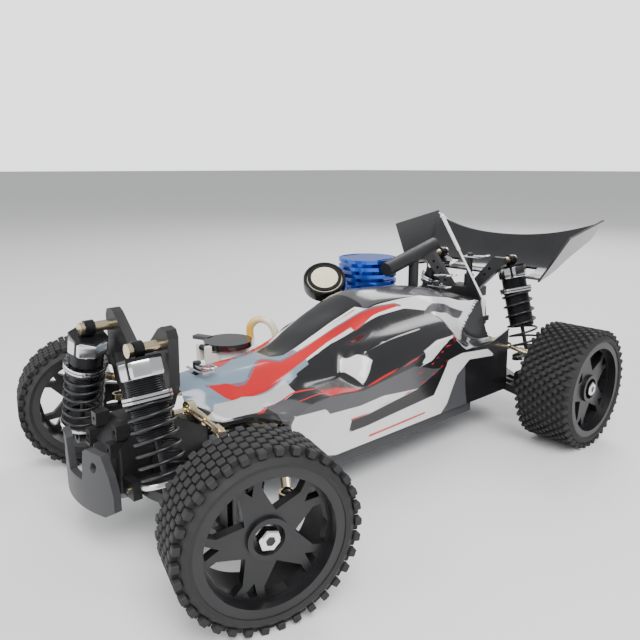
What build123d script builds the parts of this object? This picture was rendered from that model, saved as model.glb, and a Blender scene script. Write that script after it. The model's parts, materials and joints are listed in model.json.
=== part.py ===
"""Nitro-powered off-road buggy, about 1:10 scale.

Frame: millimetres, +Z up, the nose points to -Y and the car's left side is +X.
The origin lies on the ground under the middle of the car's outline.
The front wheels stand turned a little to the car's right.
"""

import os
from math import cos, hypot, radians, sin

from build123d import *

# ---- driving dimensions -----------------------------------------------------------------

wheelbase = 287.0
front_axle_y = -154.0
axle_z = 44.0
steer_angle = -15.5  # heading of the front wheels about +Z

tyre_radius = 44.0
tyre_shoulder = 5.0
rim_radius = 33.2
barrel_wall = 2.4
rim_inset = 1.5
spoke_thickness = 5.0
spoke_recess = 6.0
spoke_count = 5
hub_radius = 10.0
axle_radius = 3.0
front_wheel_width = 33.0
rear_wheel_width = 43.0
kingpin_x = 93.0
front_wheel_offset = 15.5
rear_wheel_x = 103.0

running_gap = 0.05
part_gap = 0.5
pin_radius = 1.5
ball_radius = 2.9
ball_gap = 0.3
rod_end_radius = 4.4
rod_end_width = 4.0
rod_radius = 1.7

inner_pin_x = 24.0
arm_span = 56.0
arm_drop = 8.0
arm_thickness = 6.0
arm_knuckle_radius = 4.0
arm_root_half = 22.0
fork_inner_half = 6.5
fork_outer_half = 11.0
carrier_half = 6.0
front_pin_z = 37.0
rear_pin_z = 36.0
front_link_rise = 37.0
rear_link_rise = 33.0
link_shift = 3.0
link_offset = 9.0

front_shock_top = (29.6, 113.6)
front_shock_foot = (57.0, 39.5)
front_shock_offset = -20.5
front_cylinder_length = 30.0
rear_shock_top = (34.5, 128.0)
rear_shock_foot = (60.0, 39.5)
rear_shock_offset = 17.5
rear_cylinder_length = 40.0
shock_bore_radius = 7.0
shock_body_radius = 9.2
shock_cap_radius = 11.0
shock_cap_height = 10.0
shock_eye_radius = 4.4
shock_eye_half = 2.5
eye_overlap = 3.5  # of the arm's boss beside the lower eye
shock_neck_radius = 2.1
shock_shaft_radius = 1.5
foot_pin_gap = 0.8
spring_radius = 12.0
spring_cup_rise = 14.0

steer_arm_length = 20.0
steer_ball_z = 47.5
crank_x = 18.0
crank_y = -115.0
crank_radius = 5.0

chassis_z = 22.0
chassis_thickness = 2.5
chassis_half = 46.0
kick_up = 9.0
kick_length = 66.0
stand_hole_radius = 1.6
stand_hole_dx = 60.0
stand_hole_dy = 80.0

case_half = 17.0
case_top = 66.0
holder_thickness = 5.0
tower_thickness = 6.0

shell_wall = 1.4
tank_wall = 2.0
lid_radius = 16.3

# ---- derived places ---------------------------------------------------------------------

rear_axle_y = front_axle_y + wheelbase
chassis_top = chassis_z + chassis_thickness
kick_start_y = front_axle_y + 30.0
nose_y = kick_start_y - kick_length
tail_y = rear_axle_y + arm_root_half + part_gap + holder_thickness
outer_pin_x = inner_pin_x + arm_span
front_shock_y = front_axle_y + front_shock_offset
rear_shock_y = rear_axle_y + rear_shock_offset
front_tower_y = front_axle_y - 7.0  # front face
rear_tower_y = rear_axle_y - 2.0  # front face
steer_reach = (-steer_arm_length * sin(radians(steer_angle)), steer_arm_length * cos(radians(steer_angle)))
drag_y = crank_y + steer_reach[1]
drag_z = steer_ball_z + arm_drop


def upright_plane(y):
    """A plane across the car at y: sketches are (x, z) and extrude towards the nose."""
    return Plane(origin=(0, y, 0), x_dir=(1, 0, 0), z_dir=(0, -1, 0))


def side_plane(x):
    """A plane along the car at x: sketches are (y, z) and extrude towards +X."""
    return Plane(origin=(x, 0, 0), x_dir=(0, 1, 0), z_dir=(1, 0, 0))


def round_plane(start, direction):
    """A plane at start whose normal is direction, for pins, rods and round bosses."""
    normal = Vector(*direction).normalized()
    side = Vector(0, 0, 1) if abs(normal.Z) < 0.9 else Vector(0, 1, 0)
    return Plane(origin=start, x_dir=side.cross(normal), z_dir=normal)


def between(start, end):
    """The plane at start that faces end, and the distance to it."""
    run = Vector(*end) - Vector(*start)
    return round_plane(start, tuple(run)), run.length


def plate_top(y):
    """Height of the chassis plate's upper face at y, along its kicked-up nose."""
    return chassis_top + kick_up * max(0.0, kick_start_y - y) / kick_length


def rod(start, end, radius):
    """Adds a round rod from start to end to the part being built."""
    plane, length = between(start, end)
    with BuildSketch(plane) as profile:
        Circle(radius)
    extrude(profile.sketch, amount=length)


def bore(start, end, radius):
    """Cuts a round hole from start to end in the part being built."""
    plane, length = between(start, end)
    with BuildSketch(plane) as profile:
        Circle(radius)
    extrude(profile.sketch, amount=length, mode=Mode.SUBTRACT)


def slab(plane, points, amount, both=False, mode=Mode.ADD):
    """Adds or cuts a flat piece with the given outline."""
    with BuildSketch(plane) as outline:
        with BuildLine():
            Polyline(*points, close=True)
        make_face()
    extrude(outline.sketch, amount=amount, both=both, mode=mode)


def block(low, high, mode=Mode.ADD):
    """Adds or cuts a box between two corners."""
    size = [b - a for a, b in zip(low, high)]
    with Locations(tuple((a + b) / 2 for a, b in zip(low, high))):
        Box(*size, mode=mode)


def both_sides(points):
    """An outline mirrored about x = 0 from its right half, listed from top to bottom."""
    return points + [(-x, z) for x, z in reversed(points)]


os.makedirs("parts", exist_ok=True)


def keep(shape, name):
    """Labels a finished piece and writes its file."""
    shape.label = name
    export_step(shape, f"parts/{name}.step")


def keep_pair(shape, name):
    """Keeps a left-hand piece, and its mirror image for the right side of the car."""
    keep(shape, f"{name}_left")
    keep(shape.mirror(Plane.YZ), f"{name}_right")


# ---- chassis, guards and bumper ---------------------------------------------------------

with BuildPart() as chassis_plate:
    side_profile = [
        (tail_y, chassis_z),
        (kick_start_y, chassis_z),
        (nose_y, chassis_z + kick_up),
        (nose_y, chassis_top + kick_up),
        (kick_start_y, chassis_top),
        (tail_y, chassis_top),
    ]
    slab(side_plane(0), side_profile, chassis_half, both=True)
    half_plan = [
        (case_half, nose_y),
        (case_half + 3, kick_start_y),
        (chassis_half, kick_start_y + 50),
        (chassis_half, rear_axle_y - 50),
        (case_half + 5, rear_axle_y - 24),
        (case_half + 3, tail_y),
    ]
    slab(Plane.XY, both_sides(half_plan), 60, mode=Mode.INTERSECT)
    with Locations((0, 0, chassis_z)):
        with GridLocations(stand_hole_dx, stand_hole_dy, 2, 2):
            Cylinder(stand_hole_radius, 4 * chassis_thickness, mode=Mode.SUBTRACT)
keep(chassis_plate.part, "chassis_plate")

guard_length = 150.0
guard_width = 6.5
guard_height = 12.0
with BuildPart() as side_guards:
    for side in (-1, 1):
        with Locations((side * (chassis_half + guard_width / 2), 5, chassis_z + guard_height / 2)):
            Box(guard_width, guard_length, guard_height)
    chamfer(side_guards.edges().filter_by(Axis.Y).group_by(Axis.Z)[-1], 2.5)
keep(side_guards.part, "side_guards")

bumper_half = 31.0
bumper_low = chassis_z + kick_up - 4
bumper_high = 62.0
bumper_front = nose_y - 10
bumper_wall = 4.0
with BuildPart() as front_bumper:
    with BuildSketch(Plane.XY.offset(bumper_low)):
        with BuildLine():
            outer = ThreePointArc(
                (-bumper_half, bumper_front + 7), (0, bumper_front), (bumper_half, bumper_front + 7)
            )
            inner = ThreePointArc(
                (bumper_half, bumper_front + 7 + bumper_wall),
                (0, bumper_front + bumper_wall),
                (-bumper_half, bumper_front + 7 + bumper_wall),
            )
            Line(outer @ 1, inner @ 0)
            Line(inner @ 1, outer @ 0)
        make_face()
    extrude(amount=bumper_high - bumper_low)
    face_outline = [
        (8, 43),
        (11, 60),
        (14, bumper_high),
        (25, bumper_high - 1),
        (29, 50),
        (bumper_half, 40),
        (bumper_half, bumper_low + 4),
        (bumper_half - 6, bumper_low),
    ]
    slab(upright_plane(bumper_front + 20), both_sides(face_outline), 40, mode=Mode.INTERSECT)
    for side in (-1, 1):
        with BuildSketch(upright_plane(bumper_front + 20)):
            with Locations((side * 19, 53)):
                SlotOverall(6, 4, rotation=70 * side)
        extrude(amount=40, mode=Mode.SUBTRACT)
    block((-12, bumper_front + 2, plate_top(nose_y)), (12, nose_y + 4.4, plate_top(nose_y) + 4))
keep(front_bumper.part, "front_bumper")

# ---- gearbox cases, towers and their pins -----------------------------------------------

case_reach = arm_root_half + part_gap + holder_thickness
front_case_front = front_axle_y - case_reach - 2
front_case_rear = front_axle_y + case_reach
rear_case_front = rear_axle_y - case_reach
rear_case_rear = rear_axle_y + case_reach
shaft_bore_radius = 3.4
case_boss = case_half + 1.5


def pin_holders(axle_y, pin_z, floor):
    """Lugs before and behind both lower arms that carry the inner hinge pins."""
    for end in (-1, 1):
        near = axle_y + end * (arm_root_half + part_gap)
        far = near + end * holder_thickness
        low, high = min(near, far), max(near, far)
        base = max(floor(low), floor(high))
        block((-inner_pin_x - 5, low, base), (inner_pin_x + 5, high, pin_z + 5))
        for side in (-1, 1):
            x = side * inner_pin_x
            bore((x, low - 1, pin_z), (x, high + 1, pin_z), pin_radius)


with BuildPart() as front_gearbox:
    case_side = [
        (front_case_rear, plate_top(front_case_rear)),
        (front_case_front, plate_top(front_case_front)),
        (front_case_front, 56),
        (front_case_front + 12, case_top),
        (front_case_rear - 20, case_top),
        (front_case_rear, 54),
    ]
    slab(side_plane(0), case_side, case_half, both=True)
    fillet(front_gearbox.edges().filter_by(Axis.Z), 3)
    rod((-case_boss, front_axle_y, axle_z), (case_boss, front_axle_y, axle_z), 11)
    pin_holders(front_axle_y, front_pin_z, plate_top)
    for side in (-1, 1):
        for lug_y, lug_z in ((front_case_front + 1, 57), (front_case_front + 5, 66)):
            block(
                (side * 13 - 3, lug_y - 4, lug_z - 4),
                (side * 13 + 3, lug_y + 4, lug_z + 4),
            )
            bore((side * 13, lug_y - 6, lug_z), (side * 13, lug_y - 1, lug_z), 1.2)
    block((-6, front_case_rear - 12, 50), (6, front_case_rear + 6, 54))
    bore((0, front_case_rear - 14, axle_z), (0, front_case_rear + 1, axle_z), shaft_bore_radius)
keep(front_gearbox.part, "front_gearbox")

with BuildPart() as rear_gearbox:
    case_side = [
        (rear_case_front, chassis_top),
        (rear_case_front, 56),
        (rear_case_front + 18, case_top),
        (rear_case_rear - 12, case_top),
        (rear_case_rear, 54),
        (rear_case_rear, chassis_top),
    ]
    slab(side_plane(0), case_side, case_half, both=True)
    fillet(rear_gearbox.edges().filter_by(Axis.Z), 3)
    rod((-case_boss, rear_axle_y, axle_z), (case_boss, rear_axle_y, axle_z), 11)
    pin_holders(rear_axle_y, rear_pin_z, plate_top)
    bore((0, rear_case_front - 1, axle_z), (0, rear_case_front + 14, axle_z), shaft_bore_radius)
keep(rear_gearbox.part, "rear_gearbox")

with BuildPart() as front_tower:
    outline = [
        (4, 101),
        (26, 121),
        (30, 123),
        (35, 122),
        (37, 118),
        (36, 92),
        (30, 80),
        (21, 72),
        (15, case_top),
    ]
    slab(upright_plane(front_tower_y + tower_thickness), both_sides(outline), tower_thickness)
    for side in (-1, 1):
        window = [(side * x, z) for x, z in ((11, 99), (26, 107), (29, 96), (24, 84), (13, 80))]
        slab(upright_plane(front_tower_y + 10), window, 20, mode=Mode.SUBTRACT)
    fillet(front_tower.edges().filter_by(Axis.Y), 1.2)
keep(front_tower.part, "front_shock_tower")

antenna_x = 27.0
antenna_y = 127.0
antenna_foot_z = 84.0
with BuildPart() as rear_tower:
    outline = [
        (7, 104),
        (31, 132),
        (40, 132),
        (41, 127),
        (17, 103),
        (24, 90),
        (25, 76),
        (16, case_top),
    ]
    slab(upright_plane(rear_tower_y + tower_thickness - 1), both_sides(outline), tower_thickness - 1)
    for side in (-1, 1):
        with BuildSketch(upright_plane(rear_tower_y + 10)):
            for step in range(4):
                with Locations((side * (15 + 4.4 * step), 107.5 + 4.9 * step)):
                    Circle(1.3)
            with Locations((side * 12, 82)):
                RegularPolygon(7, 6)
        extrude(amount=20, mode=Mode.SUBTRACT)
    fillet(rear_tower.edges().filter_by(Axis.Y).group_by(SortBy.LENGTH)[-1], 1.2)
    block((18, antenna_y - 3, antenna_foot_z - 4), (antenna_x + 3, rear_tower_y + 1, antenna_foot_z))
keep(rear_tower.part, "rear_shock_tower")

front_link_inner = (inner_pin_x + link_shift, front_pin_z + front_link_rise)
rear_link_inner = (inner_pin_x + link_shift - 2, rear_pin_z + rear_link_rise)
front_link_y = front_axle_y + link_offset
rear_link_y = rear_axle_y - link_offset
stud_radius = 2.0
with BuildPart() as suspension_pins:
    pin_overhang = arm_root_half + part_gap + holder_thickness + 1
    for side in (-1, 1):
        for axle_y, pin_z in ((front_axle_y, front_pin_z), (rear_axle_y, rear_pin_z)):
            x = side * inner_pin_x
            rod((x, axle_y - pin_overhang, pin_z), (x, axle_y + pin_overhang, pin_z), pin_radius)
        for top, shock_y, face, away in (
            (front_shock_top, front_shock_y, front_tower_y, -1),
            (rear_shock_top, rear_shock_y, rear_tower_y + tower_thickness - 1, 1),
        ):
            x, z = side * top[0], top[1]
            spacer_end = shock_y - away * (shock_eye_half + part_gap)
            head = shock_y + away * (shock_eye_half + part_gap)
            rod((x, face, z), (x, spacer_end, z), stud_radius + 1)
            rod((x, spacer_end, z), (x, head, z), stud_radius)
            rod((x, head, z), (x, head + away * 2.5, z), stud_radius + 1.6)
        for inner, link_y, face in (
            (front_link_inner, front_link_y, front_tower_y + tower_thickness),
            (rear_link_inner, rear_link_y, rear_tower_y),
        ):
            x, z = side * inner[0], inner[1]
            rod((x, face, z), (x, link_y, z), 1.3)
            with Locations((x, link_y, z)):
                Sphere(ball_radius)
keep(suspension_pins.part, "suspension_pins")

# ---- lower arms -------------------------------------------------------------------------

arm_length = hypot(arm_span, arm_drop)


def lower_arm(axle_y, pin_z, foot, end, body_side_half):
    """A left lower arm; end is +1 where the shock stands behind the arm, -1 before it."""
    plane = Plane(
        origin=(inner_pin_x, axle_y, pin_z),
        x_dir=(arm_span, 0, -arm_drop),
        z_dir=(arm_drop, 0, arm_span),
    )
    foot_u = foot[0] - inner_pin_x
    foot_boss = front_shock_offset + eye_overlap if end < 0 else rear_shock_offset - eye_overlap
    with BuildPart() as arm:
        half = arm_thickness / 2
        plan = [
            (0, -arm_root_half * end),
            (8, -arm_root_half * end + 1.5 * end),
            (24, -body_side_half * end),
            (arm_length - 9, -fork_outer_half * end),
            (arm_length - 9, fork_outer_half * end),
            (32, fork_outer_half * end),
            (8, (arm_root_half - 1.5) * end),
            (0, arm_root_half * end),
        ]
        slab(plane, plan, half, both=True)
        for low_u, high_u in ((8, 19), (23, 33)):
            for low_v, high_v in ((-8, -1.5), (1.5, 8)):
                pocket = [(low_u, low_v), (high_u, low_v), (high_u, high_v), (low_u, high_v)]
                slab(plane, pocket, arm_thickness, both=True, mode=Mode.SUBTRACT)
        for side in (-1, 1):
            near, far = side * fork_inner_half, side * fork_outer_half
            ear = [(arm_length - 12, near), (arm_length, near), (arm_length, far), (arm_length - 12, far)]
            slab(plane, ear, half, both=True)
            rod(
                (outer_pin_x, axle_y + near, pin_z - arm_drop),
                (outer_pin_x, axle_y + far, pin_z - arm_drop),
                arm_knuckle_radius,
            )
        rod(
            (inner_pin_x, axle_y - arm_root_half, pin_z),
            (inner_pin_x, axle_y + arm_root_half, pin_z),
            arm_knuckle_radius,
        )
        block(
            (foot[0] - 4, min(axle_y, axle_y + foot_boss), pin_z - arm_drop * foot_u / arm_span),
            (foot[0] + 4, max(axle_y + 0.1, axle_y + foot_boss), foot[1] + 1),
        )
        rod(
            (foot[0], axle_y, foot[1]),
            (foot[0], axle_y + foot_boss, foot[1]),
            4,
        )
        rod(
            (foot[0], axle_y + foot_boss, foot[1]),
            (foot[0], axle_y + foot_boss + end * 7, foot[1]),
            pin_radius,
        )
        bore(
            (inner_pin_x, axle_y - arm_root_half - 1, pin_z),
            (inner_pin_x, axle_y + arm_root_half + 1, pin_z),
            pin_radius + running_gap,
        )
        rod(
            (outer_pin_x, axle_y - fork_outer_half, pin_z - arm_drop),
            (outer_pin_x, axle_y + fork_outer_half, pin_z - arm_drop),
            pin_radius,
        )
    return arm.part


front_arm = lower_arm(front_axle_y, front_pin_z, front_shock_foot, -1, 15)
rear_arm = lower_arm(rear_axle_y, rear_pin_z, rear_shock_foot, 1, 10)
keep_pair(front_arm, "front_lower_arm")
keep_pair(rear_arm, "rear_lower_arm")

# ---- hub carriers and steering knuckles ---------------------------------------------------

front_pin_out_z = front_pin_z - arm_drop
rear_pin_out_z = rear_pin_z - arm_drop
front_link_outer = (outer_pin_x + link_shift, front_link_inner[1] - arm_drop)
rear_link_outer = (rear_link_inner[0] + arm_span, rear_link_inner[1] - arm_drop)
tongue_low = (front_pin_out_z - 3.5, 30.5)
tongue_high = (57.5, 62.5)
knuckle_radius = 7.5
king_depth = 4.5


def link_ball(outer, link_y, face):
    """The ball stud of the upper link on a carrier."""
    rod((outer[0], face, outer[1]), (outer[0], link_y, outer[1]), 1.3)
    with Locations((outer[0], link_y, outer[1])):
        Sphere(ball_radius)


with BuildPart() as front_carrier:
    back_inner = kingpin_x - knuckle_radius - 1.5
    outline = [
        (outer_pin_x - 4, tongue_low[0]),
        (kingpin_x + 5, tongue_low[0]),
        (kingpin_x + 5, tongue_low[1]),
        (back_inner, tongue_low[1]),
        (back_inner, tongue_high[0]),
        (kingpin_x + 5, tongue_high[0]),
        (kingpin_x + 5, tongue_high[1]),
        (front_link_outer[0] + 3, front_link_outer[1] + 2.5),
        (front_link_outer[0] - 4, front_link_outer[1] + 2.5),
        (outer_pin_x - 2, tongue_high[0]),
    ]
    slab(upright_plane(front_axle_y), outline, carrier_half, both=True)
    for end, (near, far) in ((1, tongue_low), (-1, tongue_high)):
        start = far if end > 0 else near
        rod(
            (kingpin_x, front_axle_y, start),
            (kingpin_x, front_axle_y, start + end * king_depth),
            pin_radius,
        )
    link_ball(front_link_outer, front_link_y, front_axle_y + carrier_half)
    bore(
        (outer_pin_x, front_axle_y - 9, front_pin_out_z),
        (outer_pin_x, front_axle_y + 9, front_pin_out_z),
        pin_radius + running_gap,
    )
keep_pair(front_carrier.part, "front_hub_carrier")

rear_bearing_face = rear_wheel_x - rear_wheel_width / 2 + 6
with BuildPart() as rear_carrier:
    outline = [
        (outer_pin_x - 4, rear_pin_out_z - 4),
        (outer_pin_x + 5, rear_pin_out_z - 4),
        (outer_pin_x + 7, axle_z),
        (rear_link_outer[0] + 3, rear_link_outer[1] + 2.5),
        (rear_link_outer[0] - 4, rear_link_outer[1] + 2.5),
        (outer_pin_x - 2, axle_z),
    ]
    slab(upright_plane(rear_axle_y), outline, carrier_half, both=True)
    rod((outer_pin_x - 1, rear_axle_y, axle_z), (rear_bearing_face, rear_axle_y, axle_z), 7.5)
    link_ball(rear_link_outer, rear_link_y, rear_axle_y - carrier_half)
    bore(
        (outer_pin_x - 5, rear_axle_y, axle_z),
        (rear_bearing_face + 1, rear_axle_y, axle_z),
        axle_radius + running_gap,
    )
    bore(
        (outer_pin_x, rear_axle_y - 9, rear_pin_out_z),
        (outer_pin_x, rear_axle_y + 9, rear_pin_out_z),
        pin_radius + running_gap,
    )
keep_pair(rear_carrier.part, "rear_hub_carrier")


def steered(side, out, back, z):
    """A point by its offsets from the kingpin, out along the axle and back from it."""
    turn = radians(steer_angle)
    x, y = side * out, back
    return (
        side * kingpin_x + x * cos(turn) - y * sin(turn),
        front_axle_y + x * sin(turn) + y * cos(turn),
        z,
    )


knuckle_low = tongue_low[1] + part_gap
knuckle_high = tongue_high[0] - part_gap
bearing_out = front_wheel_offset - front_wheel_width / 2 + 9.5
for side, side_name in ((1, "left"), (-1, "right")):
    with BuildPart() as knuckle:
        rod(
            (side * kingpin_x, front_axle_y, knuckle_low),
            (side * kingpin_x, front_axle_y, knuckle_high),
            knuckle_radius,
        )
        rod(steered(side, 0, 0, axle_z), steered(side, bearing_out, 0, axle_z), 7)
        arm_plane = Plane(
            origin=steered(side, 0, 0, steer_ball_z - 5.5),
            x_dir=(cos(radians(steer_angle)), sin(radians(steer_angle)), 0),
            z_dir=(0, 0, 1),
        )
        slab(arm_plane, [(-3, 3), (3, 3), (3, steer_arm_length + 3), (-3, steer_arm_length + 3)], -4)
        ball_point = steered(side, 0, steer_arm_length, steer_ball_z)
        rod(steered(side, 0, steer_arm_length, steer_ball_z - 6), ball_point, 1.3)
        with Locations(ball_point):
            Sphere(ball_radius)
        bore(
            steered(side, -knuckle_radius - 1, 0, axle_z),
            steered(side, bearing_out + 1, 0, axle_z),
            axle_radius + running_gap,
        )
        for start, end in ((knuckle_low - 1, king_depth + 2), (knuckle_high + 1, -king_depth - 2)):
            x, y = side * kingpin_x, front_axle_y
            bore((x, y, start), (x, y, start + end), pin_radius + running_gap)
    keep(knuckle.part, f"steering_knuckle_{side_name}")

# ---- upper links and tie rods ------------------------------------------------------------


def link(inner, outer, ring_axis_inner, ring_axis_outer):
    """A threaded link with a ball cup at each end, bored about its own ball."""
    with BuildPart() as piece:
        rod(inner, outer, rod_radius)
        for near, far in ((inner, outer), (outer, inner)):
            run = (Vector(*far) - Vector(*near)).normalized()
            start = Vector(*near) + run * (rod_end_radius - 1)
            stop = Vector(*near) + run * (rod_end_radius + 12)
            rod(tuple(start), tuple(stop), rod_radius + 0.9)
        middle = (Vector(*inner) + Vector(*outer)) * 0.5
        run = (Vector(*outer) - Vector(*inner)).normalized()
        plane = round_plane(tuple(middle - run * 2.5), tuple(run))
        with BuildSketch(plane) as nut:
            RegularPolygon(rod_radius + 1.2, 6)
        extrude(nut.sketch, amount=5)
        for centre, axis in ((inner, ring_axis_inner), (outer, ring_axis_outer)):
            low = Vector(*centre) - Vector(*axis) * (rod_end_width / 2)
            high = Vector(*centre) + Vector(*axis) * (rod_end_width / 2)
            rod(tuple(low), tuple(high), rod_end_radius)
        for centre, axis in ((inner, ring_axis_inner), (outer, ring_axis_outer)):
            low = Vector(*centre) - Vector(*axis) * rod_end_width
            high = Vector(*centre) + Vector(*axis) * rod_end_width
            bore(tuple(low), tuple(high), ball_radius + ball_gap)
    return piece.part


def across(point, y):
    """A point of the drawing plane (x, z) placed at y."""
    return (point[0], y, point[1])


along_car = (0, 1, 0)
upward = (0, 0, 1)
front_link = link(
    across(front_link_inner, front_link_y), across(front_link_outer, front_link_y), along_car, along_car
)
rear_link = link(
    across(rear_link_inner, rear_link_y), across(rear_link_outer, rear_link_y), along_car, along_car
)
keep_pair(front_link, "front_upper_link")
keep_pair(rear_link, "rear_upper_link")

drag_balls = {}
for side, side_name in ((1, "left"), (-1, "right")):
    outer = steered(side, 0, steer_arm_length, steer_ball_z)
    drag_balls[side] = (outer[0] - side * arm_span, drag_y, drag_z)
    keep(link(drag_balls[side], outer, upward, upward), f"tie_rod_{side_name}")

# ---- steering cranks, drag link and servo -------------------------------------------------

crank_low = drag_z - 13
crank_high = drag_z - 8.5
drag_low = drag_z - 8
drag_high = drag_z - 5


def crank(x, low, high, arm_low, shaft_bore):
    """A steering crank with a boss round its shaft and a pin for the drag link."""
    tip_x, tip_y = x + steer_reach[0], drag_y
    with BuildPart() as piece:
        rod((x, crank_y, low), (x, crank_y, high), crank_radius)
        for point in ((x, crank_y), (tip_x, tip_y)):
            rod((*point, arm_low), (*point, high), 3.5)
        side_run = Vector(steer_reach[1], -steer_reach[0]).normalized() * 3.5
        outline = [
            (x + side_run.X, crank_y + side_run.Y),
            (tip_x + side_run.X, tip_y + side_run.Y),
            (tip_x - side_run.X, tip_y - side_run.Y),
            (x - side_run.X, crank_y - side_run.Y),
        ]
        slab(Plane.XY.offset(arm_low), outline, high - arm_low)
        rod((tip_x, tip_y, high), (tip_x, tip_y, drag_high), pin_radius)
        bore((x, crank_y, low - 1), (x, crank_y, low + shaft_bore), 2.5 + running_gap)
    return piece.part


servo_top = 39.5
horn_low = servo_top + part_gap
keep(crank(-crank_x, chassis_top + part_gap, crank_high, crank_low, 60), "steering_crank")
keep(crank(crank_x, horn_low, crank_high, crank_low, 4), "servo_horn")

with BuildPart() as drag_link:
    low_x = drag_balls[-1][0]
    high_x = drag_balls[1][0]
    block((low_x - 3, drag_y - 3, drag_low), (high_x + 3, drag_y + 3, drag_high))
    for side in (-1, 1):
        x, y, z = drag_balls[side]
        rod((x, y, drag_high), (x, y, z), 1.3)
        with Locations((x, y, z)):
            Sphere(ball_radius)
        tip_x = side * crank_x + steer_reach[0]
        bore((tip_x, drag_y, drag_low - 1), (tip_x, drag_y, drag_high + 1), pin_radius + running_gap)
keep(drag_link.part, "drag_link")

with BuildPart() as steering_servo:
    block((crank_x - 10, crank_y - 6, chassis_top), (crank_x + 10, crank_y + 34, servo_top - 1))
    block((crank_x - 10, crank_y - 9.5, 33), (crank_x + 10, crank_y - 6, 36))
    rod((crank_x, crank_y, servo_top - 1), (crank_x, crank_y, servo_top), 6)
    rod((crank_x, crank_y, servo_top), (crank_x, crank_y, servo_top + 4), 2.5)
keep(steering_servo.part, "steering_servo")


# ---- shock absorbers ----------------------------------------------------------------------


def shock_parts(top, foot, y, cylinder_length):
    """The left shock's cylinder with cap and collar, and its shaft with cup and eye."""
    start, end = across(top, y), across(foot, y)
    run = Vector(*end) - Vector(*start)
    length = run.length
    unit = run.normalized()

    def along(distance):
        return tuple(Vector(*start) + unit * distance)

    cap_start = shock_eye_radius
    cap_end = cap_start + shock_cap_height
    tube_end = cap_end + cylinder_length
    cup_start = length - spring_cup_rise
    with BuildPart() as cylinder:
        plane, _ = between(along(cap_start), end)
        with BuildSketch(plane) as cap:
            RegularPolygon(shock_cap_radius, 6)
        extrude(cap.sketch, amount=shock_cap_height)
        rod(along(cap_end - 1), along(tube_end), shock_body_radius)
        rod(along(cap_end + 8), along(cap_end + 12), spring_radius + 0.5)
        rod(
            (start[0], y - shock_eye_half, start[2]),
            (start[0], y + shock_eye_half, start[2]),
            shock_eye_radius,
        )
        rod(along(shock_eye_radius - 1), along(cap_start + 1), shock_neck_radius)
        bore(along(cap_end - 2), along(tube_end - 4), shock_bore_radius)
        bore(along(tube_end - 5), along(tube_end + 1), shock_shaft_radius + running_gap)
        bore(
            (start[0], y - 4, start[2]),
            (start[0], y + 4, start[2]),
            stud_radius + ball_gap,
        )
    with BuildPart() as shaft:
        rod(along(cap_end + 12), along(length - shock_eye_radius), shock_shaft_radius)
        rod(along(cap_end + 12), along(cap_end + 15), shock_bore_radius - 0.6)
        rod(along(cup_start), along(cup_start + 2), spring_radius)
        rod(along(cup_start), along(length - shock_eye_radius + 0.6), 3)
        rod((end[0], y - shock_eye_half, end[2]), (end[0], y + shock_eye_half, end[2]), shock_eye_radius)
        bore((end[0], y - 4, end[2]), (end[0], y + 4, end[2]), pin_radius + foot_pin_gap)
    return cylinder.part, shaft.part


for end_name, top, foot, y, tube in (
    ("front", front_shock_top, front_shock_foot, front_shock_y, front_cylinder_length),
    ("rear", rear_shock_top, rear_shock_foot, rear_shock_y, rear_cylinder_length),
):
    cylinder, shaft = shock_parts(top, foot, y, tube)
    keep_pair(cylinder, f"{end_name}_shock_body")
    keep_pair(shaft, f"{end_name}_shock_shaft")

# ---- wheels and tyres -----------------------------------------------------------------------


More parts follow.
